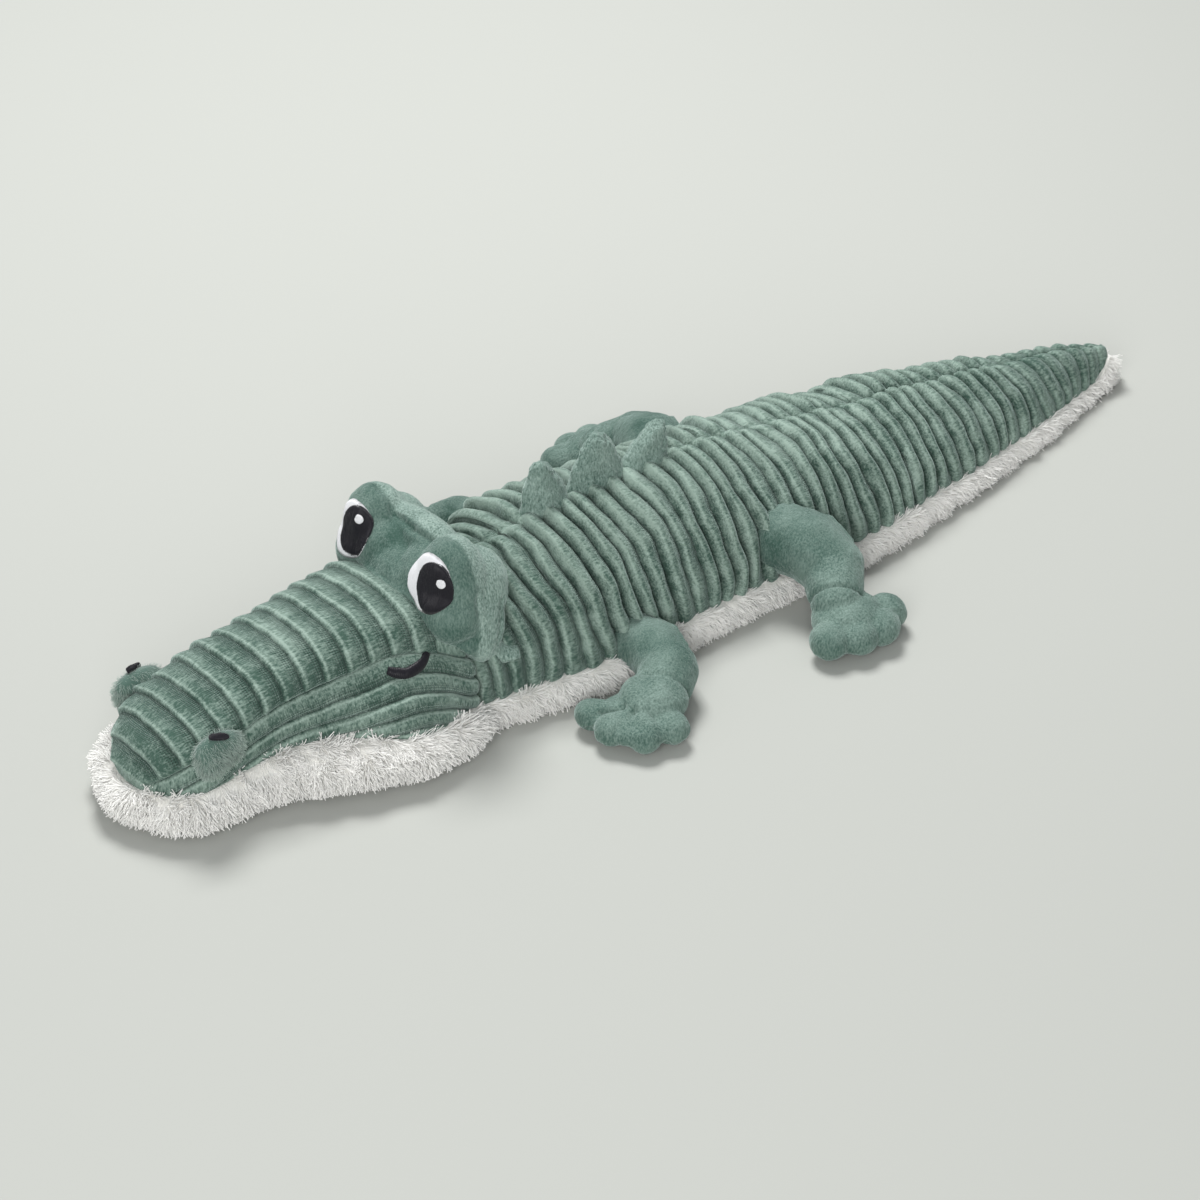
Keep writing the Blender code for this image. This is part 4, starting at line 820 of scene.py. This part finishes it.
def jaw_line():
    """Points of the lower head seam from one cheek round the nose to the other, with each one's share."""
    share = np.concatenate((np.linspace(HEAD_REAR, 0.90, 90), np.linspace(0.91, 1.0, 30)))
    seam = head_skin(share)[:, 0]
    tip = np.array([(seam[-1][0] - SEAM_TUCK, seam[-1][1] * f, seam[-1][2]) for f in (0.66, 0.33)])
    front = np.array([(seam[-1][0] - NOSE_TUCK, 0.0, seam[-1][2])])
    half = np.concatenate((seam, tip))
    size = np.concatenate((share, (1, 1)))
    return np.concatenate((half, front, half[::-1] * (1, -1, 1))), np.concatenate((size, (1,), size[::-1]))


def chin_form():
    """Lip that swells out below the jaw line and closes flat under the head."""
    line, size = jaw_line()
    along = np.gradient(line, axis=0)
    out = np.stack((along[:, 1], -along[:, 0], 0 * along[:, 0]), 1)
    out *= np.sign((out * (line - (NECK_X - BITE, 0, 0)) * (1, 4, 0)).sum(1))[:, None]
    out[0], out[-1] = (0, -1, 0), (0, 1, 0)
    out /= np.linalg.norm(out, axis=1)[:, None]
    swell = HEAD_HALF * line_through(LIP_SWELLS, size) + tufts(np.linspace(0, 0.55, len(size)))
    count = len(line)
    loops = []
    for inset, level, reach in LIP_PROFILE:
        loop = line + out * (swell * reach + inset)[:, None]
        loop[:, 2] = CHIN_LEVEL + (line[:, 2] - CHIN_LEVEL) * level
        loops.append(loop)
    spine = np.stack((np.maximum(line[:, 0], line[:, 0].min() + 0.03), 0 * line[:, 0], 0 * line[:, 0]), 1)
    for share in (0.4, 0.75, 1.0):
        loop = loops[-1] + (spine - loops[-1]) * share
        loop[:, 2] = CHIN_LEVEL
        loops.append(loop)
    top = loops[0] + (spine - loops[0]) * 0.35
    middle = loops[0] + (spine - loops[0])
    top[:, 2] = middle[:, 2] = loops[0][:, 2]
    loops = [middle, top] + loops
    points = np.concatenate(loops)
    faces = grid_faces(len(loops), count)
    piece = new_piece("chin", points, faces, {"pile": np.repeat(CHIN_SHOW[:len(loops)], count)})
    layer = piece.data.uv_layers.new(name=BAKE_MAP)
    for item in piece.data.loops:
        row, column = divmod(item.vertex_index, count)
        layer.data[item.index].uv = (column / count, 0.12 + 0.86 * row / len(loops))
    work = bmesh.new()
    work.from_mesh(piece.data)
    bmesh.ops.remove_doubles(work, verts=work.verts, dist=MERGED)
    bmesh.ops.holes_fill(work, edges=[e for e in work.edges if e.is_boundary], sides=0)
    bmesh.ops.recalc_face_normals(work, faces=work.faces)
    work.to_mesh(piece.data)
    work.free()
    return piece


def dress_chin():
    chin = worked(chin_form(), pile, seed=11, finish=white_pile, **CHIN_PILE)
    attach(chin, "head")
    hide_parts("chin_panel")


dress_chin()

# Brow: a smooth short-pile band across the head, sewn over two stuffed humps that carry the eyes.
# The humps stand up steeply in front and run back into rounded ridges towards the shoulders.
# The short plush's dark tone is its colour darkened as painted shade, for the brow's front under its edge.
SHORT_BODY_AND_SHADE = (0.050, 0.104, 0.083, 1.0)
SHORT_CREST = (0.340, 0.445, 0.395, 1.0)
BROW_GRAIN = 0.0016
BROW_FRONT = ((40, -0.05), (50, -0.02), (56, 0.01), (60, 0.05), (65, 0.111), (71, 0.140), (80, 0.166),
              (88, 0.190))
BROW_DEPTH = ((40, 0.05), (50, 0.09), (60, 0.14), (71, 0.17), (88, 0.17))
HUMP_X = NECK_X - 0.013
BRIDGE_PADS = ((-0.019, 0, 0.108), (0.029, 0.058, 0.027)), ((-0.003, 0, 0.121), (0.022, 0.058, 0.033))
HUMP_PADS = (((0.0, 0.048, 0.121), (0.026, 0.030, 0.041)), ((0.016, 0.049, 0.110), (0.030, 0.028, 0.036)),
             ((-0.004, 0.052, 0.104), (0.029, 0.028, 0.032)), ((0.013, 0.062, 0.088), (0.022, 0.019, 0.036)),
             ((-0.004, 0.026, 0.114), (0.026, 0.032, 0.030)))
RIDGE_X = NECK_X - 0.012
BROW_PLEAT = ((0.018, 0.060, 0.128), (0.012, 0.078, 0.098), (0.006, 0.080, 0.068))
PLEAT_PRESS = (0.0026, 0.0032)
SEAM_PRESS = (0.0026, 0.0030)
BROW_FOLDS = {"depth": 0.003, "spread": 0.03, "fine_depth": 0.0014, "fine_spread": 0.022}
BED_SIZE = (0.013, 0.0265, 0.0275)
BED_SETBACK = 0.0125
BAND_LIFT = (0.0035, 0.0060)
BAND_BACK = 0.0030
SHORT_SHEEN = (0.80, 0.95, 0.90, 1.0)
SHORT_PATCH = 0.030
SHORT_STROKE = 0.0014
BROW_SEAM = ((-0.011, 0.088, 0.075), (-0.011, 0.078, 0.120), (-0.012, 0.045, 0.163),
             (-0.014, 0.025, 0.147), (-0.016, 0.0, 0.147))
EYE_PLACE = (-0.0369, 0.0488, 0.1309)
EYE_TILT = (-1.0, 0.10, 0.32)
SIDES = ((-1, "left"), (1, "right"))


def short_plush():
    """Short pile fabric: soft patches of turned nap over fine strokes; its dark tone stands for painted
    shade, and marked parts are painted paler, as painted top light on the brow.
    """
    material, shader, bench = finish_named("short_plush_brow", 0.85, 0.5, SHORT_SHEEN, 0.35)
    place = bench.spot()
    swept = bench.node("ShaderNodeMapping", {"Vector": place, "Scale": (1.0, 1.0, 0.4)})
    brushed = bench.attribute("brushed")
    patches = bench.noise(SHORT_PATCH, 2.0, place)
    strokes = bench.noise(SHORT_STROKE, 2.0, swept, roughness=0.7)
    nap = (patches - 0.5) * 0.8 + (strokes - 0.5) * (brushed * 1.4 + 0.9) + brushed * 0.42 + 0.19
    feed(shader.inputs["Base Color"], bench.mix(nap.clamped(), SHORT_BODY_AND_SHADE, SHORT_CREST))
    bench.bump(shader, 0.7, NAP_DEPTH, strokes + patches * 0.6)
    return material


def ellipsoid(centre, size):
    """Points and faces of an ellipsoid."""
    lift = np.linspace(-math.pi / 2, math.pi / 2, 16)[1:-1, None]
    turn = np.linspace(0, 2 * math.pi, 25)[None, :-1]
    ball = np.stack((np.cos(lift) * np.cos(turn), np.cos(lift) * np.sin(turn), np.sin(lift) + 0 * turn), 2)
    return closed_loft(np.array(centre) + ball * size)


def stuffed(name, forms, grain, smoothing):
    """One skin round overlapping closed forms, its creases rounded off."""
    points, faces = [], []
    for more_points, more_faces in forms:
        faces += [tuple(i + len(points) for i in face) for face in more_faces]
        points += np.asarray(more_points).reshape(-1, 3).tolist()
    piece = new_piece(name, points, faces)
    skin = piece.modifiers.new("skin", "REMESH")
    skin.mode = "VOXEL"
    skin.voxel_size = grain
    ease = piece.modifiers.new("ease", "SMOOTH")
    ease.iterations = smoothing
    ease.factor = 0.5
    return plain(piece)


def marked(piece, label, values):
    """Keeps one value per point of a piece under a label."""
    layer = piece.data.attributes.new(label, "FLOAT", "POINT")
    layer.data.foreach_set("value", np.asarray(values, dtype=np.float32))


def spots_of(piece):
    spots = np.empty(len(piece.data.vertices) * 3)
    piece.data.vertices.foreach_get("co", spots)
    return spots.reshape(-1, 3)


def pressed(piece, path, side, width, depth):
    """Moves the skin in near a path from the neck on one side, or out where depth is below zero."""
    path = [(NECK_X + x, side * y, z) for x, y, z in path]
    spots = spots_of(piece)
    normals = np.empty(spots.size)
    piece.data.vertex_normals.foreach_get("vector", normals)
    stops = np.linspace(0, len(path) - 1, 60)
    path = np.stack([np.interp(stops, range(len(path)), axis) for axis in np.array(path).T], 1)
    gap = np.full(len(spots), 1.0)
    for spot in path:
        gap = np.minimum(gap, np.linalg.norm(spots - spot, axis=1))
    spots -= normals.reshape(-1, 3) * (depth * np.exp(-(gap / width) ** 2))[:, None]
    piece.data.vertices.foreach_set("co", spots.ravel())
    piece.data.update()


def crumple_tree():
    """Geometry nodes that press soft folds into a stuffed piece."""
    bench, size = new_tree("soft_folds", "Form", "Depth", "Spread", "Fine_Depth", "Fine_Spread")
    place = bench.node("GeometryNodeInputPosition")
    broad = bench.noise(size["Spread"], 2.0, place)
    fine = bench.node("ShaderNodeTexNoise", {"Vector": place, "Detail": 2.0, "Distortion": 0.6,
                      "Scale": 1.0 / size["Fine_Spread"]})
    crease = abs(fine - 0.5) * 2.0
    rise = (broad - 0.5) * size["Depth"] + (crease.clamped() ** 0.6 - 0.5) * size["Fine_Depth"]
    return end_tree(bench, size, moved(bench, size["Form"], rise))


def frame_of(facing):
    ahead = Vector(facing).normalized()
    side = Vector((0, 0, 1)).cross(ahead).normalized()
    return ahead, side, ahead.cross(side)


def eye_bed(side):
    """Flat stuffed disc inside each hump that the eye lies on."""
    points, faces = ellipsoid((0, 0, 0), BED_SIZE)
    axes = np.array(frame_of((EYE_TILT[0], side * EYE_TILT[1], EYE_TILT[2])))
    place = np.array((NECK_X + EYE_PLACE[0], side * EYE_PLACE[1], EYE_PLACE[2]))
    return points @ axes + place - axes[0] * BED_SETBACK, faces


def brow_band():
    """Rolled strip over the head; its front edge runs back as it comes down the sides."""
    first, last = 42, CHEEK_STEPS + CROWN_STEPS
    column = np.arange(first, 2 * last - first + 1)
    mirrored = last - np.abs(column - last)
    front = line_through(BROW_FRONT, mirrored)
    depth = line_through(BROW_DEPTH, mirrored)
    rows = 30
    outer = np.empty((rows, len(column), 3))
    inner = np.empty((rows, len(column), 3))
    table = np.linspace(-0.13, 0.20, 331)
    low, high = head_skin(table, -BAND_BACK), head_skin(table, 1.0)
    for r, t in enumerate(np.linspace(0, 1, rows)):
        lift = BAND_LIFT[0] + BAND_LIFT[1] * math.sin(math.pi * min(t * 1.15, 1.0)) ** 0.5
        place = np.clip((front - depth * (1 - t) + 0.13) * 1000, 0, 329.999)
        row, part = place.astype(int), (place % 1)[:, None]
        inner[r] = low[row, column] * (1 - part) + low[row + 1, column] * part
        top = high[row, column] * (1 - part) + high[row + 1, column] * part
        outer[r] = inner[r] + (top - inner[r]) * (lift + BAND_BACK) / (1.0 + BAND_BACK)
    return closed_loft(np.concatenate((outer, inner[:, ::-1]), 1))


def dress_brow():
    finish = short_plush()
    folds = crumple_tree()
    forms = [brow_band(), eye_bed(-1), eye_bed(1)]
    forms += [ellipsoid((NECK_X + x, y, z), size) for (x, y, z), size in BRIDGE_PADS]
    for side, _ in SIDES:
        forms += [ellipsoid((HUMP_X + x, side * y, z), size) for (x, y, z), size in HUMP_PADS]
    brow = stuffed("brow", forms, BROW_GRAIN, 8)
    for path, press in ((BROW_PLEAT, PLEAT_PRESS), (BROW_SEAM, SEAM_PRESS)):
        for side, _ in SIDES:
            pressed(brow, path, side, *press)
    # Behind its ridge the brow is marked to be painted paler, as painted top light; its front keeps the dark
    # tone as painted shade.
    marked(brow, "brushed", eased(RIDGE_X - 0.001, RIDGE_X + 0.002, spots_of(brow)[:, 0]))
    brow = worked(brow, folds, finish=finish, **BROW_FOLDS)
    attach(brow, "head")
    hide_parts("eye_hood", "eye_dome_left", "eye_dome_right")
    return brow, finish, folds


brow, short_finish, folds = dress_brow()

# Eyes: satin-stitched ovals on the humps. A white oval, a large black pupil low on its near side and
# a small white glint, each a raised field of parallel threads.
EYE_WHITE = (0.80, 0.80, 0.82, 1.0)
THREAD_BLACK = (0.012, 0.011, 0.016, 1.0)
THREAD = 0.00062
EYE_HALF = (0.0215, 0.0230)
PUPIL_HALF = (0.0168, 0.0204)
GLINT_HALF = (0.0034, 0.0036)
PUPIL_PLACE = {"left": (0.0056, -0.0012), "right": (0.0048, 0.0008)}
GLINT_PLACE = {"left": (0.0134, 0.0054), "right": (0.0076, 0.0120)}
EYE_LIFT, PUPIL_LIFT, GLINT_LIFT = 0.0012, 0.0021, 0.0031
THREAD_RIBS = {"height": 0.00035, "breadth": 2.0, "rear_breadth": 2.0, "front": 0.5, "wander": 0.5,
               "wander_size": 0.006, "lump_height": 0.0002, "lump_size": 0.003}
THREAD_FLECK = 0.0012
THREAD_DEPTH = 0.0003
LOOKING_DISTANCE = 0.08
UNDERLAP = 0.0004


def thread_finish(name, colour, roughness, spread):
    """Embroidery thread with a slight gloss that runs with the stitches, partly from its roughness and partly
    a painted highlight on each thread's crest, with painted shade between threads.
    """
    material, shader, bench = finish_named(name, roughness, 0.1)
    fleck = bench.noise(THREAD_FLECK, 2.0, bench.spot())
    # Painted shade between the threads: the colour is darkened by spread away from each thread's crest, which
    # keeps the full colour as a painted highlight.
    painted_groove_shade = tuple(c * spread for c in colour[:3]) + (1.0,)
    tone = bench.mix((bench.attribute("crest") * 0.8 + fleck * 0.4).clamped(), painted_groove_shade, colour)
    feed(shader.inputs["Base Color"], tone)
    bench.bump(shader, 0.3, THREAD_DEPTH, fleck)
    return material


def stitched_oval(name, ground, centre, facing, half, tilt, lift, finish):
    """Oval field of satin stitch lying on a piece, seen along facing and turned by tilt."""
    ahead, side, up = frame_of(facing)
    tree = BVHTree.FromPolygons([v.co for v in ground.data.vertices],
                                [p.vertices[:] for p in ground.data.polygons])
    columns = max(24, round(2 * half[0] / THREAD) * 5)
    rings = []
    line = []
    show = []
    for s in np.linspace(-0.992, 0.992, columns):
        reach = math.sqrt(1 - s * s)
        ring = []
        for t, level in [(t, 1) for t in np.linspace(-1, 1, 15)] + [(t, 0) for t in (0.7, 0.0, -0.7)]:
            u, v = half[0] * s, half[1] * reach * t
            u, v = u * math.cos(tilt) - v * math.sin(tilt), u * math.sin(tilt) + v * math.cos(tilt)
            start = Vector(centre) + ahead * LOOKING_DISTANCE + side * u + up * v
            spot, normal = tree.ray_cast(start, -ahead)[:2]
            rim = max(0.0, 1 - max(abs(s), abs(t)) ** 6) ** 0.5
            ring.append(spot + normal * (lift * (0.45 + 0.55 * rim) if level else -UNDERLAP))
            line.append(half[0] * s / THREAD)
            show.append(level)
        rings.append(ring)
    points, faces = closed_loft(np.array(rings))
    piece = new_piece(name, points, faces, {"rib_line": line + [0, 0], "rib_fade": show + [0, 0]})
    return worked(piece, ribs, finish=finish, **THREAD_RIBS)


def dress_eyes():
    white = thread_finish("white_satin_thread", EYE_WHITE, 0.45, 0.75)
    black = thread_finish("black_satin_thread", THREAD_BLACK, 0.38, 0.4)
    for side, label in SIDES:
        centre = Vector((NECK_X + EYE_PLACE[0], side * EYE_PLACE[1], EYE_PLACE[2]))
        facing = (EYE_TILT[0], side * EYE_TILT[1], EYE_TILT[2])
        across, up = frame_of(facing)[1:]
        layers = (("eye_white", "eye_white", (0.0, 0.0), EYE_HALF, EYE_LIFT, white),
                  ("eye_pupil", "eye_pupil", PUPIL_PLACE[label], PUPIL_HALF, PUPIL_LIFT, black),
                  ("eye_glint", "eye_highlight", GLINT_PLACE[label], GLINT_HALF, GLINT_LIFT, white))
        for name, node, (out, rise), half, lift, finish in layers:
            place = centre + across * out + up * rise
            piece = stitched_oval(f"{name}_{label}_stitched", brow, place, facing, half, 0.0, lift, finish)
            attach(piece, "head")
            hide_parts(f"{node}_{label}")
    return black


black_thread = dress_eyes()

# Nostrils: two folded tabs of the short-pile fabric, brushed out at the rim, with a black stitched
# slit on the top of each.
TAB_SHARE = 0.860
TAB_SPREAD = 0.053
TAB_LEVEL = 0.0705
TAB_GRAIN = 0.0014
TAB_PADS = (((0.001, 0.0, 0.001), (0.021, 0.0085, 0.011)), ((0.009, -0.004, -0.006), (0.015, 0.010, 0.014)),
            ((-0.006, 0.003, -0.007), (0.013, 0.008, 0.013)))
TAB_PILE = {"strand_length": 0.0048, "per_area": 860000.0, "comb": (0.15, 0.0, -0.8), "lock": 1.5,
            "lock_size": 0.006}
SLIT_PLACE = Vector((0.003, 0.0, 0.004))
SLIT_HALF = (0.0066, 0.0024)
SLIT_TILT = 0.35
SLIT_LIFT = 0.0036
# The tab pile's root colour is painted shade, as if shaded by the strands.
TAB_ROOT_SHADE = (0.080, 0.145, 0.118, 1.0)
TAB_TIP = (0.330, 0.430, 0.375, 1.0)


def dress_nostrils():
    fluff = pile_finish("brushed_tab_pile", TAB_ROOT_SHADE, TAB_TIP, 0.5)
    for side, label in SIDES:
        middle = Vector((NECK_X - HEAD_LENGTH * TAB_SHARE, side * TAB_SPREAD, TAB_LEVEL))
        forms = [ellipsoid(middle + Vector((x, side * y, z)), size) for (x, y, z), size in TAB_PADS]
        tab = stuffed(f"nostril_tab_{label}_stuffed", forms, TAB_GRAIN, 6)
        out, level = spots_of(tab)[:, 1] * side, spots_of(tab)[:, 2]
        show = eased(TAB_LEVEL + 0.008, TAB_LEVEL - 0.004, level) * eased(TAB_SPREAD - 0.008, TAB_SPREAD, out)
        marked(tab, "pile", 0.45 + 0.55 * show)
        bare = tab.copy()
        bare.data = tab.data.copy()
        tab = worked(tab, pile, seed=5, finish=fluff, **TAB_PILE)
        facing = (-0.45, side * 0.45, 0.90)
        slit = stitched_oval(f"nostril_slit_{label}_stitched", bare, middle + SLIT_PLACE, facing,
                             SLIT_HALF, -SLIT_TILT * side, SLIT_LIFT, black_thread)
        bpy.data.objects.remove(bare)
        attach(tab, "head")
        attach(slit, "head")
        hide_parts(f"nostril_tab_{label}")
        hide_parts(f"nostril_slit_{label}")


dress_nostrils()

# Mouth corners: a short curved bar of black satin stitch on each cheek, thick in the middle.
# Its route is given as shares of the head's length and of the way up the cheek.
SMILE = ((0.320, 0.872), (0.299, 0.820), (0.272, 0.785), (0.232, 0.832), (0.201, 0.910), (0.186, 0.98))
SMILE_HALF = 0.0044
SMILE_RISE = 0.0034
SMILE_STEPS = 120
SMILE_SPAN = (0.15, 0.40)
SMILE_OUTSET = 0.0022
SMILE_FACING = (0.1, -0.86, 0.5)
SMILE_ROUND = 16
SMILE_RIBS = {"height": 0.0004, "breadth": 2.0, "rear_breadth": 2.0, "front": 0.5, "wander": 0.4,
              "wander_size": 0.006, "lump_height": 0.0003, "lump_size": 0.004}


def smile_path():
    """Points of the mouth bar on the left cheek, each worked out between four points of the skin."""
    route = np.array(SMILE)
    run = np.linspace(0, len(route) - 1, SMILE_STEPS)
    share = line_through(list(zip(range(len(route)), route[:, 0])), run)
    level = line_through(list(zip(range(len(route)), route[:, 1])), run)
    skin = head_skin(np.linspace(*SMILE_SPAN, SMILE_STEPS), SMILE_OUTSET)
    row = (share - SMILE_SPAN[0]) / (SMILE_SPAN[1] - SMILE_SPAN[0]) * (SMILE_STEPS - 1)
    column = level * CHEEK_STEPS
    low_r, low_c = row.astype(int), column.astype(int)
    part_r, part_c = (row - low_r)[:, None], (column - low_c)[:, None]
    return (skin[low_r, low_c] * (1 - part_r) * (1 - part_c) + skin[low_r + 1, low_c] * part_r * (1 - part_c)
            + skin[low_r, low_c + 1] * (1 - part_r) * part_c + skin[low_r + 1, low_c + 1] * part_r * part_c)


def dress_mouth():
    path = smile_path()
    along = np.gradient(path, axis=0)
    along /= np.linalg.norm(along, axis=1)[:, None]
    normal = Vector(SMILE_FACING).normalized()
    for side, label in SIDES:
        rings = []
        for i, (spot, ahead) in enumerate(zip(path, along)):
            full = math.sin(math.pi * (0.06 + 0.88 * i / (SMILE_STEPS - 1))) ** 0.25 * SMILE_HALF
            across = normal.cross(Vector(ahead)).normalized()
            ring = []
            for turn in np.linspace(0, 2 * math.pi, SMILE_ROUND + 1)[:-1]:
                rise = SMILE_RISE * max(math.sin(turn), -0.6) * min(1.0, full / SMILE_HALF)
                ring.append(Vector(spot) + across * full * math.cos(turn) + normal * rise)
            rings.append(ring)
        rings = np.array(rings) * ((1, 1, 1) if side < 0 else (1, -1, 1))
        points, faces = closed_loft(rings)
        length = np.concatenate(([0], np.cumsum(np.linalg.norm(np.diff(path, axis=0), axis=1))))
        line = np.append(np.repeat(length / (2.2 * THREAD), SMILE_ROUND), (0, 0))
        fields = {"rib_line": line, "rib_fade": line * 0 + 1}
        bar = new_piece(f"mouth_stitch_{label}_stitched", points, faces, fields)
        bar = worked(bar, ribs, finish=black_thread, **SMILE_RIBS)
        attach(bar, "head")
        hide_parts(f"mouth_stitch_{label}")


dress_mouth()

# Back spikes: three flat stuffed triangles sewn into the spine seam, each with a seam round its edge.
# Each has its place along the body as a share, its height, its length and how far its tip leans back.
SPIKES = ((0.152, 0.041, 0.044, -0.006), (0.221, 0.043, 0.053, 0.003), (0.289, 0.031, 0.046, 0.013))
SPIKE_HALF = 0.0125
SPIKE_LIFT = 0.0015
SPIKE_EDGE = 0.0014
SPIKE_THICK = 0.0062
SPIKE_LEAST = 0.0002
SPIKE_FOLDS = {"depth": 0.007, "spread": 0.018, "fine_depth": 0.0030, "fine_spread": 0.012}


def dress_spikes():
    for number, (share, height, length, lean) in enumerate(SPIKES):
        rise = np.concatenate((np.linspace(-0.25, 0.7, 30), np.linspace(0.72, 1.0, 24)))[:, None]
        turn = np.linspace(0, 2 * math.pi, 65)[None, :-1]
        up = np.clip(rise, 0, 1)
        tip = np.sqrt(np.clip(1 - np.clip((up - 0.80) / 0.20, 0, 1) ** 2, 0.0, 1))
        half_x = (length / 2 * (1 - up) ** 1.15 + SPIKE_THICK * np.clip(up / 0.4, 0, 1)) * tip + SPIKE_LEAST
        half_y = SPIKE_HALF * (0.46 + 0.54 * (1 - up) ** 0.8) * tip + SPIKE_LEAST
        edge = np.abs(np.cos(turn)) ** 24 * SPIKE_EDGE * tip
        middle = NECK_X + LENGTH * share
        x = middle + (half_x + edge) * np.cos(turn) + lean * up ** 1.2
        y = half_y * np.sign(np.sin(turn)) * np.abs(np.sin(turn)) ** 0.9
        base = body_size(middle - NECK_X)[1] + SPIKE_LIFT
        z = base + height * rise + 0 * turn
        points, faces = closed_loft(np.stack((x, y, z), 2))
        spike = new_piece(f"spike_{number + 1}", points, faces, {"brushed": np.full(len(points), 0.7)})
        spike = worked(spike, folds, finish=short_finish, **SPIKE_FOLDS)
        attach(spike, "torso")
        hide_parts(f"back_spike_{number + 1}")


dress_spikes()

# Legs: stuffed sausages of short-pile fabric set into the sides, each bent at an ankle seam into a
# paw with four toes. They lie on the floor and turn loosely where they are sewn in.
LEG_GRAIN = 0.0013
ANKLE_SEAM = (0.0018, 0.0022)
SIDE_SEAM = (0.0018, -0.0026)
FRONT_LEG = ((0.133, 0.086, 0.026), (0.135, 0.112, 0.027), (0.128, 0.134, 0.026), (0.110, 0.148, 0.021))
FRONT_RADII = (0.023, 0.024, 0.024, 0.022)
FRONT_PAW = ((0.098, 0.152, 0.021), (0.029, 0.027)), ((0.079, 0.157, 0.0145), (0.034, 0.034))
FRONT_TOES = ((0.056, 0.130), (0.055, 0.155), (0.069, 0.177), (0.092, 0.181))
REAR_LEG = ((0.296, 0.078, 0.051), (0.303, 0.100, 0.051), (0.306, 0.124, 0.043), (0.290, 0.147, 0.030))
REAR_RADII = (0.029, 0.029, 0.026, 0.022)
REAR_PAW = ((0.291, 0.160, 0.020), (0.031, 0.028)), ((0.292, 0.168, 0.0160), (0.041, 0.024))
REAR_TOES = ((0.262, 0.172), (0.283, 0.181), (0.306, 0.181), (0.325, 0.168))
TOE_CREASE = (0.0024, 0.0048)
FRONT_GIRTH, REAR_GIRTH = 0.0148, 0.0172
OFF_FLOOR = 0.001
PAW_REACH = (0.046, 0.030)
LEG_FOLDS = {"depth": 0.0035, "spread": 0.030, "fine_depth": 0.0012, "fine_spread": 0.018}
LEGS = (("front", FRONT_LEG, FRONT_RADII, FRONT_PAW, FRONT_TOES, FRONT_GIRTH),
        ("rear", REAR_LEG, REAR_RADII, REAR_PAW, REAR_TOES, REAR_GIRTH))


def leg_forms(route, radii, palm, toes, girth, side):
    """Overlapping ellipsoids along a leg, over its palm and out along each toe."""
    forms = []
    path = np.array(route)
    for a, b, first, last in zip(path, path[1:], radii, radii[1:]):
        for t in np.linspace(0, 1, 7):
            spot = a + (b - a) * t
            size = first + (last - first) * t
            forms.append((spot, (size, size, min(size, spot[2] - OFF_FLOOR))))
    for place, reach in palm:
        forms.append((place, (*reach, place[2] - OFF_FLOOR)))
    heel = palm[-1][0]
    for x, y in toes:
        for t in np.linspace(0.35, 1, 6):
            size = girth * (0.95 + 0.05 * t)
            spot = (heel[0] + (x - heel[0]) * t, heel[1] + (y - heel[1]) * t, size * 0.86 + OFF_FLOOR)
            forms.append((spot, (size, size, size * 0.86)))
    return [ellipsoid((NECK_X + x, side * y, z), size) for (x, y, z), size in forms]


def press_seams(leg, route, radii, side):
    """Draws in the seam round the ankle and raises the one along the upper side of the leg."""
    ankle, before = np.array(route[-1]), np.array(route[-2])
    ahead = (ankle - before) / np.linalg.norm(ankle - before)
    across = np.cross(ahead, (0, 0, 1))
    across /= np.linalg.norm(across)
    upward = np.cross(across, ahead)
    turns = np.linspace(0, 2 * math.pi, 25)
    ring = [ankle + (across * math.cos(t) + upward * math.sin(t)) * radii[-1] for t in turns]
    spine = [np.array(spot) + np.array((0.75, 0.0, 0.62)) * r for spot, r in zip(route, radii)]
    pressed(leg, ring, side, *ANKLE_SEAM)
    pressed(leg, spine, side, *SIDE_SEAM)


def press_toes(leg, heel, toes, girth, side):
    """Draws in the creases between the toes."""
    for a, b in zip(np.array(toes), np.array(toes)[1:]):
        out = (a + b) / 2 - heel
        crease = [(*(heel + out * t), z) for t, z in ((0.45, girth * 1.8), (1.0, girth * 1.5), (1.4, 0.006))]
        pressed(leg, crease, side, *TOE_CREASE)


def dress_legs():
    for kind, route, radii, palm, toes, girth in LEGS:
        heel = np.array(palm[-1][0][:2])
        for side, label in SIDES:
            forms = leg_forms(route, radii, palm, toes, girth, side)
            leg = stuffed(f"{kind}_limb_{label}_stuffed", forms, LEG_GRAIN, 7)
            press_seams(leg, route, radii, side)
            press_toes(leg, heel, toes, girth, side)
            spots = spots_of(leg) - (NECK_X, 0, 0)
            far = np.linalg.norm((spots[:, :2] * (1, side) - heel), axis=1)
            marked(leg, "brushed", 0.28 * eased(*PAW_REACH, far))
            leg = worked(leg, folds, finish=short_finish, **LEG_FOLDS)
            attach(leg, f"{kind}_limb_{label}")
            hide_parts(f"{kind}_leg_{label}", f"{kind}_foot_{label}")


dress_legs()
